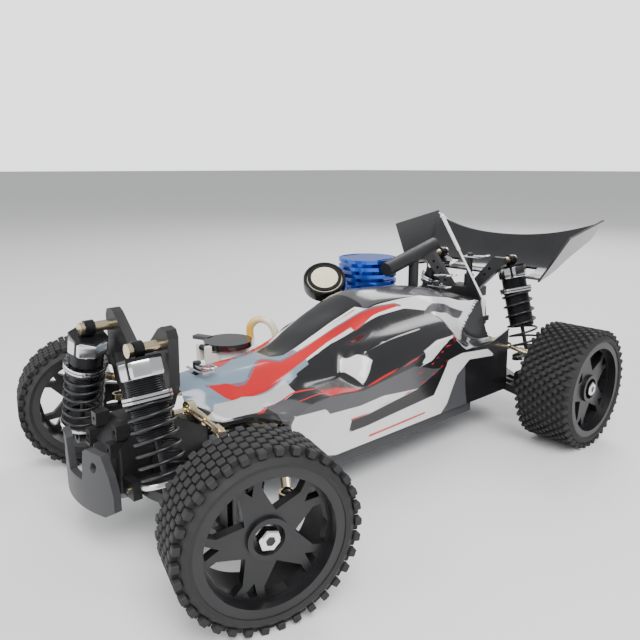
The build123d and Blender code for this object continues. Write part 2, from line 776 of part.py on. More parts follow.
def wheel(centre, outward, width, axle_reach, name):
    """A spoked rim with its stub axle, and the tyre that sits on it."""
    axis_dir = Vector(*outward)
    up = Vector(0, 0, 1)
    section = Plane(origin=centre, x_dir=up, z_dir=up.cross(axis_dir))
    axle_line = Axis(centre, outward)
    half = width / 2 - rim_inset
    flange = rim_radius + 2.2
    disc_face = half - spoke_recess

    def on_axle(distance):
        return tuple(Vector(*centre) + axis_dir * distance)

    def ring(points):
        with BuildSketch(section) as profile:
            with BuildLine():
                Polyline(*points, close=True)
            make_face()
        return profile.sketch

    with BuildPart() as rim:
        barrel = [
            (rim_radius - barrel_wall, -half),
            (flange, -half),
            (flange, -half + 1.8),
            (rim_radius, -half + 2.6),
            (rim_radius, half - 2.6),
            (flange, half - 1.8),
            (flange, half),
            (rim_radius - barrel_wall, half),
        ]
        revolve(ring(barrel), axis=axle_line)
        disc_plane = round_plane(on_axle(disc_face - spoke_thickness), outward)
        with BuildSketch(disc_plane) as disc:
            Circle(rim_radius - 1)
            window = ((13, 0), (22, 9.5), (27.5, 10.5), (29.5, 0), (27.5, -10.5), (22, -9.5))
            slit = ((22, 0), (28.5, 3.6), (29.2, 0), (28.5, -3.6))
            for index in range(spoke_count):
                turn = 360 * index / spoke_count
                with Locations(Rotation(0, 0, turn)):
                    Polygon(*window, align=None, mode=Mode.SUBTRACT)
                with Locations(Rotation(0, 0, turn + 180 / spoke_count)):
                    Polygon(*slit, align=None, mode=Mode.SUBTRACT)
        extrude(disc.sketch, amount=spoke_thickness)
        rod(on_axle(disc_face - spoke_thickness - 4), on_axle(disc_face + 2), hub_radius)
        bore(on_axle(disc_face - 2), on_axle(disc_face + 3), hub_radius - 2.5)
        nut_plane = round_plane(on_axle(disc_face - 3), outward)
        with BuildSketch(nut_plane) as nut:
            RegularPolygon(4.6, 6)
        extrude(nut.sketch, amount=6)
        rod(on_axle(-axle_reach), on_axle(disc_face - 3), axle_radius)
    keep(rim.part, f"{name}_rim")

    with BuildPart() as tyre:
        tread = width / 2
        carcass = [
            (rim_radius, -half + 2.6),
            (flange, -half + 1.8),
            (flange, -half - 0.2),
            (flange + 3, -tread),
            (tyre_radius - tyre_shoulder, -tread),
            (tyre_radius, -tread + 0.6 * tyre_shoulder),
            (tyre_radius, tread - 0.6 * tyre_shoulder),
            (tyre_radius - tyre_shoulder, tread),
            (flange + 3, tread),
            (flange, half + 0.2),
            (flange, half - 1.8),
            (rim_radius, half - 2.6),
        ]
        revolve(ring(carcass), axis=axle_line)
    keep(tyre.part, f"{name}_tyre")


rear_axle_reach = rear_wheel_x - outer_pin_x + 2
front_axle_reach = front_wheel_offset + 4
for side, side_name in ((1, "left"), (-1, "right")):
    turn = radians(steer_angle)
    outward = (side * cos(turn), side * sin(turn), 0)
    centre = steered(side, front_wheel_offset, 0, axle_z)
    wheel(centre, outward, front_wheel_width, front_axle_reach, f"front_{side_name}")
    centre = (side * rear_wheel_x, rear_axle_y, axle_z)
    wheel(centre, (side, 0, 0), rear_wheel_width, rear_axle_reach, f"rear_{side_name}")

# ---- body posts, clips, antenna and radio box -------------------------------------------------

post_radius = 2.5
front_post_y = front_case_rear + 3
rear_post_y = rear_case_front - 6
front_post_top = 90.0
rear_post_top = 112.0
wing_post_top = 131.0
wing_post_y = rear_tower_y + 13
clip_wire = 0.7
with BuildPart() as body_posts:
    rod((0, front_post_y, 54), (0, front_post_y, front_post_top), post_radius)
    rod((0, rear_post_y, 54), (0, rear_post_y, rear_post_top), post_radius)
    block((-9, rear_post_y - 4, chassis_top), (9, rear_post_y + 4, 54))
    bore((0, rear_post_y - 6, axle_z), (0, rear_post_y + 6, axle_z), shaft_bore_radius)
    rod((-crank_x, crank_y, plate_top(crank_y)), (-crank_x, crank_y, drag_low - 1), post_radius)
keep(body_posts.part, "body_posts")

clip_places = (
    (0, front_post_y, front_post_top - 4),
    (0, rear_post_y, rear_post_top - 4),
    (0, wing_post_y, wing_post_top - 3),
)
with BuildPart() as body_clips:
    for x, y, z in clip_places:
        gap = post_radius + clip_wire
        rod((x - 6, y - gap, z), (x + 12, y - gap, z), clip_wire)
        rod((x - 6, y + gap, z), (x + 12, y + gap, z), clip_wire)
        rod((x + 12, y - gap - clip_wire, z), (x + 12, y + gap + clip_wire, z), clip_wire)
keep(body_clips.part, "body_clips")

antenna_joint = (antenna_x, antenna_y, 97.0)
antenna_tip = (0, 104, 164)
with BuildPart() as antenna:
    rod((antenna_x, antenna_y, antenna_foot_z), antenna_joint, 2)
    rod(antenna_joint, antenna_tip, 0.9)
    sleeve_start = Vector(*antenna_joint) + (Vector(*antenna_tip) - Vector(*antenna_joint)) * 0.6
    rod(tuple(sleeve_start), antenna_tip, 1.4)
    with Locations(antenna_tip):
        Sphere(1.8)
keep(antenna.part, "antenna")

radio_x = (10.0, 41.0)
radio_y = (-76.0, -12.0)
radio_top = 54.0
with BuildPart() as radio_box:
    block((radio_x[0], radio_y[0], chassis_top), (radio_x[1], radio_y[1], radio_top))
    fillet(radio_box.edges().filter_by(Axis.Z), 3)
    fillet(radio_box.edges().group_by(Axis.Z)[-1], 1.5)
keep(radio_box.part, "radio_box")

# ---- fuel tank with its flip lid ---------------------------------------------------------------

lid_x = -34.0
lid_y = -79.0
tank_top = 79.0
neck_radius = 13.0
neck_top = 84.0
lid_thickness = 4.0
hinge_y = lid_y - lid_radius - 2.5
hinge_z = neck_top + 2.2
nub_x = -40.0
nub_y = -56.5
nub_top = 85.0
with BuildPart() as fuel_tank:
    low, high = (-45.5, -90, chassis_top), (-20, -50, tank_top)
    block(low, high)
    fillet(fuel_tank.edges().filter_by(Axis.Z), 5)
    fillet(fuel_tank.edges().group_by(Axis.Z)[-1], 3)
    inner_low = (low[0] + tank_wall, low[1] + tank_wall, low[2] + tank_wall)
    inner_high = (high[0] - tank_wall, high[1] - tank_wall, high[2] - tank_wall)
    rod((lid_x, lid_y, tank_top - 1), (lid_x, lid_y, neck_top), neck_radius)
    block(inner_low, inner_high, mode=Mode.SUBTRACT)
    bore((lid_x, lid_y, tank_top - 3), (lid_x, lid_y, neck_top + 1), neck_radius - 3)
    for side in (-1, 1):
        block(
            (lid_x + side * 5 - 1.5, hinge_y - 2, tank_top - 2),
            (lid_x + side * 5 + 1.5, lid_y - neck_radius + 3, neck_top - 1),
        )
        block(
            (lid_x + side * 5 - 1.5, hinge_y - 2, tank_top - 2),
            (lid_x + side * 5 + 1.5, hinge_y + 2, hinge_z + 2),
        )
    rod((nub_x, nub_y, tank_top - 3), (nub_x, nub_y, nub_top), 3)
    bore((lid_x - 8, hinge_y, hinge_z), (lid_x + 8, hinge_y, hinge_z), 1)
    rod((lid_x - 6.5, hinge_y, hinge_z), (lid_x + 6.5, hinge_y, hinge_z), 1)
keep(fuel_tank.part, "fuel_tank")

tab_run = Vector(-0.93, -0.37, 0)
with BuildPart() as tank_lid:
    lid_base = neck_top + part_gap
    rod((lid_x, lid_y, lid_base), (lid_x, lid_y, lid_base + lid_thickness), lid_radius)
    block((lid_x - 3, hinge_y, lid_base), (lid_x + 3, lid_y, lid_base + 3))
    rod((lid_x - 3, hinge_y, hinge_z), (lid_x + 3, hinge_y, hinge_z), 2)
    tab_start = Vector(lid_x, lid_y, lid_base + lid_thickness - 2) + tab_run * (lid_radius - 2)
    tab_plane = Plane(origin=tuple(tab_start), x_dir=tab_run, z_dir=(0, 0, 1))
    slab(tab_plane, [(0, -3), (13, -3), (13, 3), (0, 3)], 2.4)
    bore((lid_x - 4, hinge_y, hinge_z), (lid_x + 4, hinge_y, hinge_z), 1 + running_gap)
keep(tank_lid.part, "fuel_tank_lid")

# ---- engine, carburettor, filter and exhaust ---------------------------------------------------

engine_x = -36.0
engine_y = 57.0
crankcase_z = 44.0
fin_radius = 23.0
fin_count = 6
fin_pitch = 5.6
fin_low = 101.0
fin_thickness = 2.8
port_z = 70.0
carb_y = engine_y - 27
carb_top = 84.0
with BuildPart() as engine_block:
    block((engine_x - 9, engine_y - 18, chassis_top), (engine_x + 9, engine_y + 18, 36))
    block((engine_x - 13, engine_y - 18, 35), (engine_x + 13, engine_y + 18, 60))
    rod((engine_x, engine_y - 26, crankcase_z), (engine_x, engine_y + 23, crankcase_z), 12)
    rod((engine_x, engine_y, 58), (engine_x, engine_y, fin_low - 3), 13.5)
    rod((engine_x, engine_y, fin_low - 5), (engine_x, engine_y, fin_low - 3), 15.5)
    rod((engine_x, carb_y, 62), (engine_x, carb_y, carb_top), 6)
    rod((engine_x, carb_y, 68), (engine_x, engine_y, 68), 5)
keep(engine_block.part, "engine_block")

with BuildPart() as cooling_head:
    rod((engine_x, engine_y, fin_low - 3), (engine_x, engine_y, fin_low + fin_pitch * (fin_count - 1)), 13)
    for index in range(fin_count):
        z = fin_low + fin_pitch * index
        rod((engine_x, engine_y, z), (engine_x, engine_y, z + fin_thickness), fin_radius)
    for side in (-1, 1):
        block(
            (engine_x + side * 19 - 1.6, engine_y - 9, fin_low - 4),
            (engine_x + side * 19 + 1.6, engine_y + 9, fin_low + fin_pitch * fin_count),
            mode=Mode.SUBTRACT,
        )
keep(cooling_head.part, "cooling_head")

filter_centre = Vector(-42, 16, 118)
filter_face = Vector(0.48, -0.43, 0.765).normalized()
filter_radius = 16.0
filter_depth = 8.0
with BuildPart() as air_filter:
    back = filter_centre - filter_face * filter_depth
    foam_front = filter_centre + filter_face * 2
    rod(tuple(back), tuple(filter_centre), filter_radius)
    rod(tuple(filter_centre), tuple(foam_front), filter_radius - 3)
    rod((engine_x, carb_y, carb_top), (engine_x, carb_y, carb_top + 7), 5)
    rod((engine_x, carb_y, carb_top + 6), tuple(back + filter_face * 3), 5)
    with Locations((engine_x, carb_y, carb_top + 6)):
        Sphere(5.3)
keep(air_filter.part, "air_filter")

muffler_x = -40.0
muffler_z = 54.0
muffler_radius = 9.0
muffler_y = (engine_y + 27, engine_y + 56)
header_y = engine_y + 35
with BuildPart() as exhaust:
    header_start = (engine_x, engine_y + 14, port_z)
    with BuildLine() as header_path:
        FilletPolyline(
            header_start,
            (engine_x, header_y, port_z),
            (engine_x, header_y, muffler_z + 2),
            radius=7,
        )
    with BuildSketch(round_plane(header_start, (0, 1, 0))) as header_section:
        Circle(4)
    sweep(header_section.sketch, path=header_path.line)
    rod((muffler_x, muffler_y[0], muffler_z), (muffler_x, muffler_y[1], muffler_z), muffler_radius)
    rod((muffler_x, muffler_y[1] - 2, muffler_z), (muffler_x, muffler_y[1] + 6, muffler_z), 3)
    bore((muffler_x, muffler_y[1], muffler_z), (muffler_x, muffler_y[1] + 7, muffler_z), 2)
keep(exhaust.part, "exhaust")

# ---- drive shaft ---------------------------------------------------------------------------------

drive_shaft_radius = 2.5
spur_y = 8.0
spur_teeth = 46
spur_radius = 18.0
with BuildPart() as drive_shaft:
    rod((0, front_case_rear - 10, axle_z), (0, rear_case_front + 10, axle_z), drive_shaft_radius)
    with BuildSketch(round_plane((0, spur_y, axle_z), (0, 1, 0))) as gear:
        Circle(spur_radius)
        with PolarLocations(spur_radius, spur_teeth):
            Rectangle(2.0, 1.1)
    extrude(gear.sketch, amount=5)
    rod((0, spur_y - 8, axle_z), (0, spur_y + 1, axle_z), 8)
keep(drive_shaft.part, "drive_shaft")

# ---- fuel hose ------------------------------------------------------------------------------------

hose_radius = 2.6
hose_route = [
    (nub_x, nub_y, nub_top),
    (nub_x, nub_y, 97.0),
    (-25.0, -46.0, 96.0),
    (-25.0, -46.0, 74.0),
    (-30.0, -20.0, 64.0),
    (-34.0, 6.0, 64.0),
]
hose_bends = [7.0, 7.0, 9.0, 25.0]
with BuildPart() as fuel_hose:
    with BuildLine() as hose_path:
        FilletPolyline(*hose_route, radius=hose_bends)
    with BuildSketch(round_plane(hose_route[0], (0, 0, 1))) as hose_section:
        Circle(hose_radius)
    sweep(hose_section.sketch, path=hose_path.line)
keep(fuel_hose.part, "fuel_hose")

# ---- carrying handle --------------------------------------------------------------------------------

handle_x = -6.8
handle_leg_y = 79.0
handle_front = (47.0, 126.0)
handle_rear = (104.0, 141.0)
with BuildPart() as carry_handle:
    rod((handle_x, *handle_front), (handle_x, *handle_rear), 5.5)
    rod((handle_x, handle_leg_y, chassis_top), (handle_x, handle_leg_y, 132), 4)
keep(carry_handle.part, "carry_handle")

# ---- rear wing and its mount ----------------------------------------------------------------------------

mount_half = 14.0
mount_low = 96.0
mount_high = 104.0
tower_back = rear_tower_y + tower_thickness - 1
with BuildPart() as wing_mount:
    block((-mount_half, tower_back, mount_low), (mount_half, wing_post_y + 6, mount_high))
    rod((0, wing_post_y, mount_high - 1), (0, wing_post_y, wing_post_top), post_radius)
    rod((0, wing_post_y, mount_high - 1), (0, wing_post_y, mount_high + 9), post_radius + 1.5)
keep(wing_mount.part, "wing_mount")

wing_wall = 1.6
blade_line = [(141, 118), (165, 123), (188, 143), (204.5, 160)]
blade_under = [(141, 116.4), (165.6, 121.4), (189.1, 141.7), (205.6, 158.8)]
plate_low_front = (66.0, 141.0, 115.0)
plate_high_front = (86.0, 146.0, 150.0)
plate_high_rear = (83.0, 205.0, 160.0)
plate_low_rear = (74.0, 203.0, 144.0)
shock_notch = (24.0, 52.0, 164.0)
with BuildPart() as rear_wing:
    with BuildSketch(side_plane(0)) as blade:
        with BuildLine():
            upper_face = Spline(*blade_line)
            lower_face = Spline(*blade_under)
            Line(upper_face @ 0, lower_face @ 0)
            Line(upper_face @ 1, lower_face @ 1)
        make_face()
    extrude(blade.sketch, amount=88, both=True)
    with BuildSketch(upright_plane(210)) as lip:
        with BuildLine():
            lip_line = Spline((-90, 162), (-55, 150), (0, 144.5), (55, 150), (90, 162))
            Polyline(lip_line @ 1, (90, 190), (-90, 190), lip_line @ 0)
        make_face()
    extrude(lip.sketch, amount=80, mode=Mode.SUBTRACT)
    for side in (-1, 1):
        corners = [
            Vector(side * x, y, z)
            for x, y, z in (plate_low_front, plate_high_front, plate_high_rear, plate_low_rear)
        ]
        normal = (corners[1] - corners[0]).cross(corners[2] - corners[0]) * -side
        plate = Plane(origin=tuple(corners[0]), x_dir=tuple(corners[2] - corners[0]), z_dir=tuple(normal))
        outline = [(plate.to_local_coords(corner).X, plate.to_local_coords(corner).Y) for corner in corners]
        far_side = [(-60, -60), (140, -60), (140, 60), (-60, 60)]
        slab(plate, far_side, 60 * (1 if plate.z_dir.X * side > 0 else -1), mode=Mode.SUBTRACT)
        slab(plate, outline, wing_wall / 2, both=True)
        notch_in, notch_out, notch_y = shock_notch
        block(
            (min(side * notch_in, side * notch_out), blade_line[0][0] - 5, blade_under[0][1] - 5),
            (max(side * notch_in, side * notch_out), notch_y, blade_line[1][1] + 12),
            mode=Mode.SUBTRACT,
        )
    bore((0, wing_post_y, mount_high), (0, wing_post_y, wing_post_top), post_radius + 0.4)
keep(rear_wing.part, "rear_wing")

# ---- body shell ------------------------------------------------------------------------------

half_sections = {
    -141: [(0, 80), (9, 79), (12, 77), (13, 75), (14, 73), (14.5, 72), (15, 71), (15.5, 70), (16, 68)],
    -130: [(0, 82.5), (11, 81.5), (17, 77), (20, 73), (24, 69), (26, 66), (27.5, 63.5), (28.5, 61.5), (29, 59.5)],
    -112: [(0, 83.5), (12, 82.5), (22, 73), (25, 69), (29, 66), (32, 64.5), (35, 63.5), (37, 63), (38, 60.5)],
    -97.5: [(0, 84), (12, 83), (24, 73.5), (27, 69.5), (33, 66), (40, 65), (47, 64.5), (53, 61.5), (54, 59.5)],
    -96: [(0, 84), (12, 83), (24, 73.5), (27, 69.5), (33, 66), (40, 65), (47, 64.5), (54, 62), (56, 31)],
    -69: [(0, 85), (11, 85), (23, 83), (28, 79), (33, 73), (40, 71), (47, 70.5), (54.5, 70), (56, 31)],
    -44: [(0, 96), (13.5, 95), (20.5, 90.5), (26.5, 84.5), (34, 73), (38, 72), (46, 70), (54.5, 68), (56, 31)],
    -24: [(0, 104), (15, 103.5), (19.5, 96), (25, 90), (35, 90), (42, 87), (48, 81.5), (54.5, 69.5), (56, 31)],
    8: [(0, 117), (17, 112.5), (22, 106.5), (28, 101), (35, 96), (43, 93), (50, 86), (55, 78.5), (56, 31)],
    50: [(0, 114.5), (18, 110.5), (23, 108), (29, 103.5), (36, 98.5), (44, 95), (50.5, 90), (55, 85), (56, 31)],
    66: [(0, 112.5), (18, 108), (24, 105), (31, 99), (38, 91), (45, 83), (51, 78), (55.5, 73.5), (56.5, 31)],
    90: [(0, 107.5), (17, 103.5), (24, 97), (30, 87), (37, 77), (44, 72), (50, 71.5), (55.5, 72), (57, 31)],
    108: [(0, 103.5), (20, 99), (27, 95), (32, 84), (38, 71), (45, 70), (51, 72), (56, 76), (57, 31)],
    120.5: [(0, 100), (22, 98.5), (29, 95.5), (33, 82), (38, 70), (45, 70.5), (51, 75), (56, 80), (57, 31)],
}
tank_opening = ((-47, -104, 55), (-17, -42, 130))
engine_opening = ((-70, -2, 86), (-12.3, 84, 140))
cylinder_opening = ((-51, 40, 66), (-20, 82, 90))
handle_opening = ((-12.5, handle_leg_y - 6, 86), (-1.5, handle_leg_y + 6, 130))
post_clearance = 0.7


def inset(points, wall):
    """A half section moved inwards by the wall, level with it at the lower end."""
    chain = [(-points[1][0], points[1][1])] + points
    moved = []
    for before, here, after in zip(chain, chain[1:], chain[2:]):
        first = (Vector(*here) - Vector(*before)).normalized()
        second = (Vector(*after) - Vector(*here)).normalized()
        inward = Vector(first.Y, -first.X) + Vector(second.Y, -second.X)
        scale = wall / (1 + first.dot(second))
        moved.append((here[0] + inward.X * scale, here[1] + inward.Y * scale))
    moved[0] = (0, moved[0][1])
    last = points[-1]
    return moved + [(last[0] - wall, last[1])]


def full_ring(y, points):
    """A half section mirrored and placed at y, from the right lower edge over the roof to the left."""
    half = [(x, y, z) for x, z in points]
    return [(-x, y, z) for x, y, z in reversed(half[1:])] + half


def panels(near, far):
    """Flat three-cornered panels between two equally long rows of points."""
    made = []
    for a, b, c, d in zip(near, near[1:], far[1:], far):
        made.append(Face(Wire.make_polygon([a, b, c])))
        made.append(Face(Wire.make_polygon([a, c, d])))
    return made


outer_rings = [full_ring(y, points) for y, points in half_sections.items()]
inner_rings = [full_ring(y, inset(points, shell_wall)) for y, points in half_sections.items()]
skin = []
for rings in (outer_rings, inner_rings):
    for near, far in zip(rings, rings[1:]):
        skin += panels(near, far)
for end in (0, -1):
    skin += panels(outer_rings[end], inner_rings[end])
for edge in (0, -1):
    skin += panels([ring[edge] for ring in outer_rings], [ring[edge] for ring in inner_rings])

with BuildPart() as body_shell:
    add(Solid(Shell(skin)))
    for opening in (tank_opening, engine_opening, cylinder_opening, handle_opening):
        block(*opening, mode=Mode.SUBTRACT)
    for post_y in (front_post_y, rear_post_y):
        bore((0, post_y, case_top), (0, post_y, 130), post_radius + post_clearance)
keep(body_shell.part, "body_shell")
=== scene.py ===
"""Looks of an off-road nitro buggy: painted shell, studded tyres, dampers with springs, and studio."""

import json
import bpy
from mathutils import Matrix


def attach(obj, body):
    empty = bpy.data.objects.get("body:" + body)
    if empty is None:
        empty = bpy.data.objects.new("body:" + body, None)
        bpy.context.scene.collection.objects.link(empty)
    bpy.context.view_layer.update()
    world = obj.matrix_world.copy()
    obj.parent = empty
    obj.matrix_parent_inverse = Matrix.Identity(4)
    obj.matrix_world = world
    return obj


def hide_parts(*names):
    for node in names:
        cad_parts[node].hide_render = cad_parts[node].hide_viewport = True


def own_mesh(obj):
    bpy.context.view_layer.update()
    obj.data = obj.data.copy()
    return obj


bl_info = {
    "name": "Off-road buggy",
    "version": (1, 0, 0),
    "blender": (4, 5, 0),
    "location": "3D View > Sidebar > Buggy",
    "description": "Builds the visible pieces and finishes of an off-road nitro buggy",
    "category": "Object",
}

from math import cos, pi, radians, sin

import bmesh
import bpy
import numpy as np
from mathutils import Matrix, Vector

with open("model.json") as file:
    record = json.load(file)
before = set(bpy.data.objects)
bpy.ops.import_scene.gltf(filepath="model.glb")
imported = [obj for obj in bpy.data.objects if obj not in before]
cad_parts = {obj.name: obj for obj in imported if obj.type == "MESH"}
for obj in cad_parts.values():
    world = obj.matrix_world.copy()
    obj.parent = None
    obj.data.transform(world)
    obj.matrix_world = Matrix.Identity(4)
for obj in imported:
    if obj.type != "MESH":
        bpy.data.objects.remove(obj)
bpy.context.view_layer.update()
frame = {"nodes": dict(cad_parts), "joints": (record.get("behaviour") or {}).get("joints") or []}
MM = 0.001
SIDES = (("left", 1), ("right", -1))
ENDS = ("front", "rear")
JOINTS = {joint["name"]: joint for joint in frame["joints"]}

# Sizes and places in millimetres.
RIM_INSET = 1.5
SPOKE_RECESS = 6.0
CUP_RISE = 14.0
DAMPER_LENGTHS = {"front": 79.0, "rear": 92.1}
CLIP_SPOTS = ((0, -123.5, 88), (0, 99.5, 117), (0, 144, 128))
FILTER_CENTRE = (-42, 16, 118)
FILTER_FACE = (0.48, -0.43, 0.765)
HOSE_ROUTE = ((-40, -56.5, 85), (-39, -56, 94), (-32, -51, 98.5), (-25.5, -46.4, 92), (-25, -45.4, 78),
    (-27, -34, 69),
              (-30, -20, 64.5), (-34, 6, 64))
HOSE_RADIUS = 2.6
COLLAR_LOW = 22.4  # along a damper from its upper eye
COLLAR_HIGH = 26.4
CAP_HIGH = 14.7
SPRING_RADIUS = 12.0
POST_HOLE_HALF = 2.9
SHELL_STEP = 2.0
SHELL_COLUMNS = 5
MASK_COLUMNS = 16
FLANK_START = 4.3  # place across the half section where the flank begins
PAINT_EDGE = 0.25  # half the width over which one colour turns into the next


# ---- small workshop tools ------------------------------------------------------------------


def deselect():
    """Leaves edit mode and drops the selection, because operators act on all that is selected."""
    if bpy.context.object and bpy.context.object.mode != "OBJECT":
        bpy.ops.object.mode_set(mode="OBJECT")
    bpy.ops.object.select_all(action="DESELECT")


def edit(piece):
    """Opens a piece in edit mode with all of it selected."""
    deselect()
    bpy.context.view_layer.objects.active = piece
    piece.select_set(True)
    bpy.ops.object.mode_set(mode="EDIT")
    bpy.ops.mesh.select_all(action="SELECT")


def close_edit():
    bpy.ops.object.mode_set(mode="OBJECT")


def new_mesh(name, points, edges=(), faces=()):
    """A mesh object from points in metres."""
    mesh = bpy.data.meshes.new(name)
    mesh.from_pydata([tuple(p) for p in points], list(edges), list(faces))
    piece = bpy.data.objects.new(name, mesh)
    bpy.context.scene.collection.objects.link(piece)
    return piece


def apply_modifier(piece, kind, **settings):
    """Adds a modifier with its settings and applies it at once."""
    deselect()
    bpy.context.view_layer.objects.active = piece
    piece.select_set(True)
    modifier = piece.modifiers.new(kind.title(), kind)
    for key, value in settings.items():
        setattr(modifier, key, value)
    bpy.ops.object.modifier_apply(modifier=modifier.name)


def place(piece, matrix):
    """Moves the mesh itself, so that the object stays at the origin."""
    piece.data.transform(matrix)
    piece.data.update()


def towards(start, end):
    """The placing of a piece built along +Z from the origin so that it runs from start to end."""
    start, end = Vector(start), Vector(end)
    turn = Vector((0, 0, 1)).rotation_difference(end - start)
    return Matrix.Translation(start) @ turn.to_matrix().to_4x4()


def join(pieces, name):
    """One object from several."""
    deselect()
    for piece in pieces:
        piece.select_set(True)
    bpy.context.view_layer.objects.active = pieces[0]
    if len(pieces) > 1:
        bpy.ops.object.join()
    joined = bpy.context.view_layer.objects.active
    joined.name = name
    joined.data.name = name
    return joined


def turned(name, profile, steps=48):
    """A piece turned on a lathe about +Z; the profile is (radius, height) in millimetres."""
    points = [(radius * MM, 0, height * MM) for radius, height in profile]
    piece = new_mesh(name, points, [(i, i + 1) for i in range(len(points) - 1)])
    edit(piece)
    bpy.ops.mesh.spin(steps=steps, angle=2 * pi, center=(0, 0, 0), axis=(0, 0, 1))
    bpy.ops.mesh.select_all(action="SELECT")
    bpy.ops.mesh.remove_doubles(threshold=0.00001)
    bpy.ops.mesh.normals_make_consistent(inside=False)
    close_edit()
    return piece


def coil(name, radius, wire, length, turns, sides=8, steps=24):
    """A coil spring along +Z with closed, flattened ends, in millimetres."""
    points = []
    faces = []
    total = int(turns * steps)
    for index in range(total + 1):
        share = index / total
        rise = wire + (length - 2 * wire) * max(0.0, min(1.0, (share - 0.08) / 0.84))
        angle = 2 * pi * index / steps
        for side in range(sides):
            tilt = 2 * pi * side / sides
            reach = radius - wire + wire * cos(tilt)
            points.append((reach * cos(angle) * MM, reach * sin(angle) * MM, (rise + wire * sin(tilt)) * MM))
        if index:
            base = (index - 1) * sides
            for side in range(sides):
                after = (side + 1) % sides
                faces.append((base + side, base + after, base + sides + after, base + sides + side))
    faces.append(tuple(range(sides - 1, -1, -1)))
    faces.append(tuple(total * sides + side for side in range(sides)))
    piece = new_mesh(name, points, faces=faces)
    edit(piece)
    bpy.ops.mesh.normals_make_consistent(inside=False)
    close_edit()
    return piece


def smooth(piece, angle=35):
    """Rounds the shading across shallow edges and keeps the sharp ones."""
    deselect()
    bpy.context.view_layer.objects.active = piece
    piece.select_set(True)
    bpy.ops.object.shade_smooth_by_angle(angle=radians(angle))


def fit_out(piece, body, material, nodes=(), angle=35):
    """Gives a finished piece its finish, its body and the CAD nodes that it stands for."""
    if piece.type == "MESH":
        smooth(piece, angle)
    piece.data.materials.clear()
    piece.data.materials.append(material)
    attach(piece, body)
    if nodes:
        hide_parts(*nodes)
    return piece


# ---- finishes ---------------------------------------------------------------------------------


class Finish:
    """A material under construction: the shader and short ways to add nodes to it."""

    def __init__(self, name, color, metallic=0.0, roughness=0.5, **sockets):
        self.material = bpy.data.materials.new(name)
        self.material.use_nodes = True
        self.tree = self.material.node_tree
        self.shader = self.tree.nodes["Principled BSDF"]
        self.shader.inputs["Base Color"].default_value = (*color, 1)
        self.shader.inputs["Metallic"].default_value = metallic
        self.shader.inputs["Roughness"].default_value = roughness
        for socket, value in sockets.items():
            self.shader.inputs[socket.replace("_", " ")].default_value = value
        self.place = self.tree.nodes.new("ShaderNodeTexCoord").outputs["Object"]

    def node(self, kind, **values):
        made = self.tree.nodes.new(kind)
        for key, value in values.items():
            setattr(made, key, value)
        return made

    def link(self, output, target):
        self.tree.links.new(output, target)

    def noise(self, scale, detail=4.0):
        made = self.node("ShaderNodeTexNoise")
        made.inputs["Scale"].default_value = scale
        made.inputs["Detail"].default_value = detail
        self.link(self.place, made.inputs["Vector"])
        return made.outputs["Fac"]

    def spread(self, value, low, high, span=(0.3, 0.7)):
        """Maps a 0..1 pattern to a range."""
        made = self.node("ShaderNodeMapRange")
        made.inputs["From Min"].default_value = span[0]
        made.inputs["From Max"].default_value = span[1]
        made.inputs["To Min"].default_value = low
        made.inputs["To Max"].default_value = high
        self.link(value, made.inputs["Value"])
        return made.outputs["Result"]

    def mix(self, share, first, second):
        """A colour mixed from two colours or colour outputs."""
        made = self.node("ShaderNodeMix", data_type="RGBA")
        for socket, value in ((made.inputs["A"], first), (made.inputs["B"], second)):
            if isinstance(value, tuple):
                socket.default_value = (*value, 1)
            else:
                self.link(value, socket)
        self.link(share, made.inputs["Factor"])
        return made.outputs["Result"]

    def bump(self, height, strength, distance):
        made = self.node("ShaderNodeBump")
        made.inputs["Strength"].default_value = strength
        made.inputs["Distance"].default_value = distance
        self.link(height, made.inputs["Height"])
        self.link(made.outputs["Normal"], self.shader.inputs["Normal"])


def worn(name, color, metallic, roughness, grain=900.0, depth=0.00006, fade=0.35, strength=0.35, **sockets):
    """A finish with fine grain, uneven gloss and slightly lighter, worn patches."""
    finish = Finish(name, color, metallic, roughness, **sockets)
    broad = finish.noise(45.0, 3.0)
    lighter = tuple(min(1.0, channel * (1 + fade) + 0.004) for channel in color)
    finish.link(finish.mix(finish.spread(broad, 0, 1), color, lighter), finish.shader.inputs["Base Color"])
    finish.link(finish.spread(broad, roughness * 0.85, min(1.0, roughness * 1.2)),
        finish.shader.inputs["Roughness"])
    finish.bump(finish.noise(grain), strength, depth)
    return finish.material


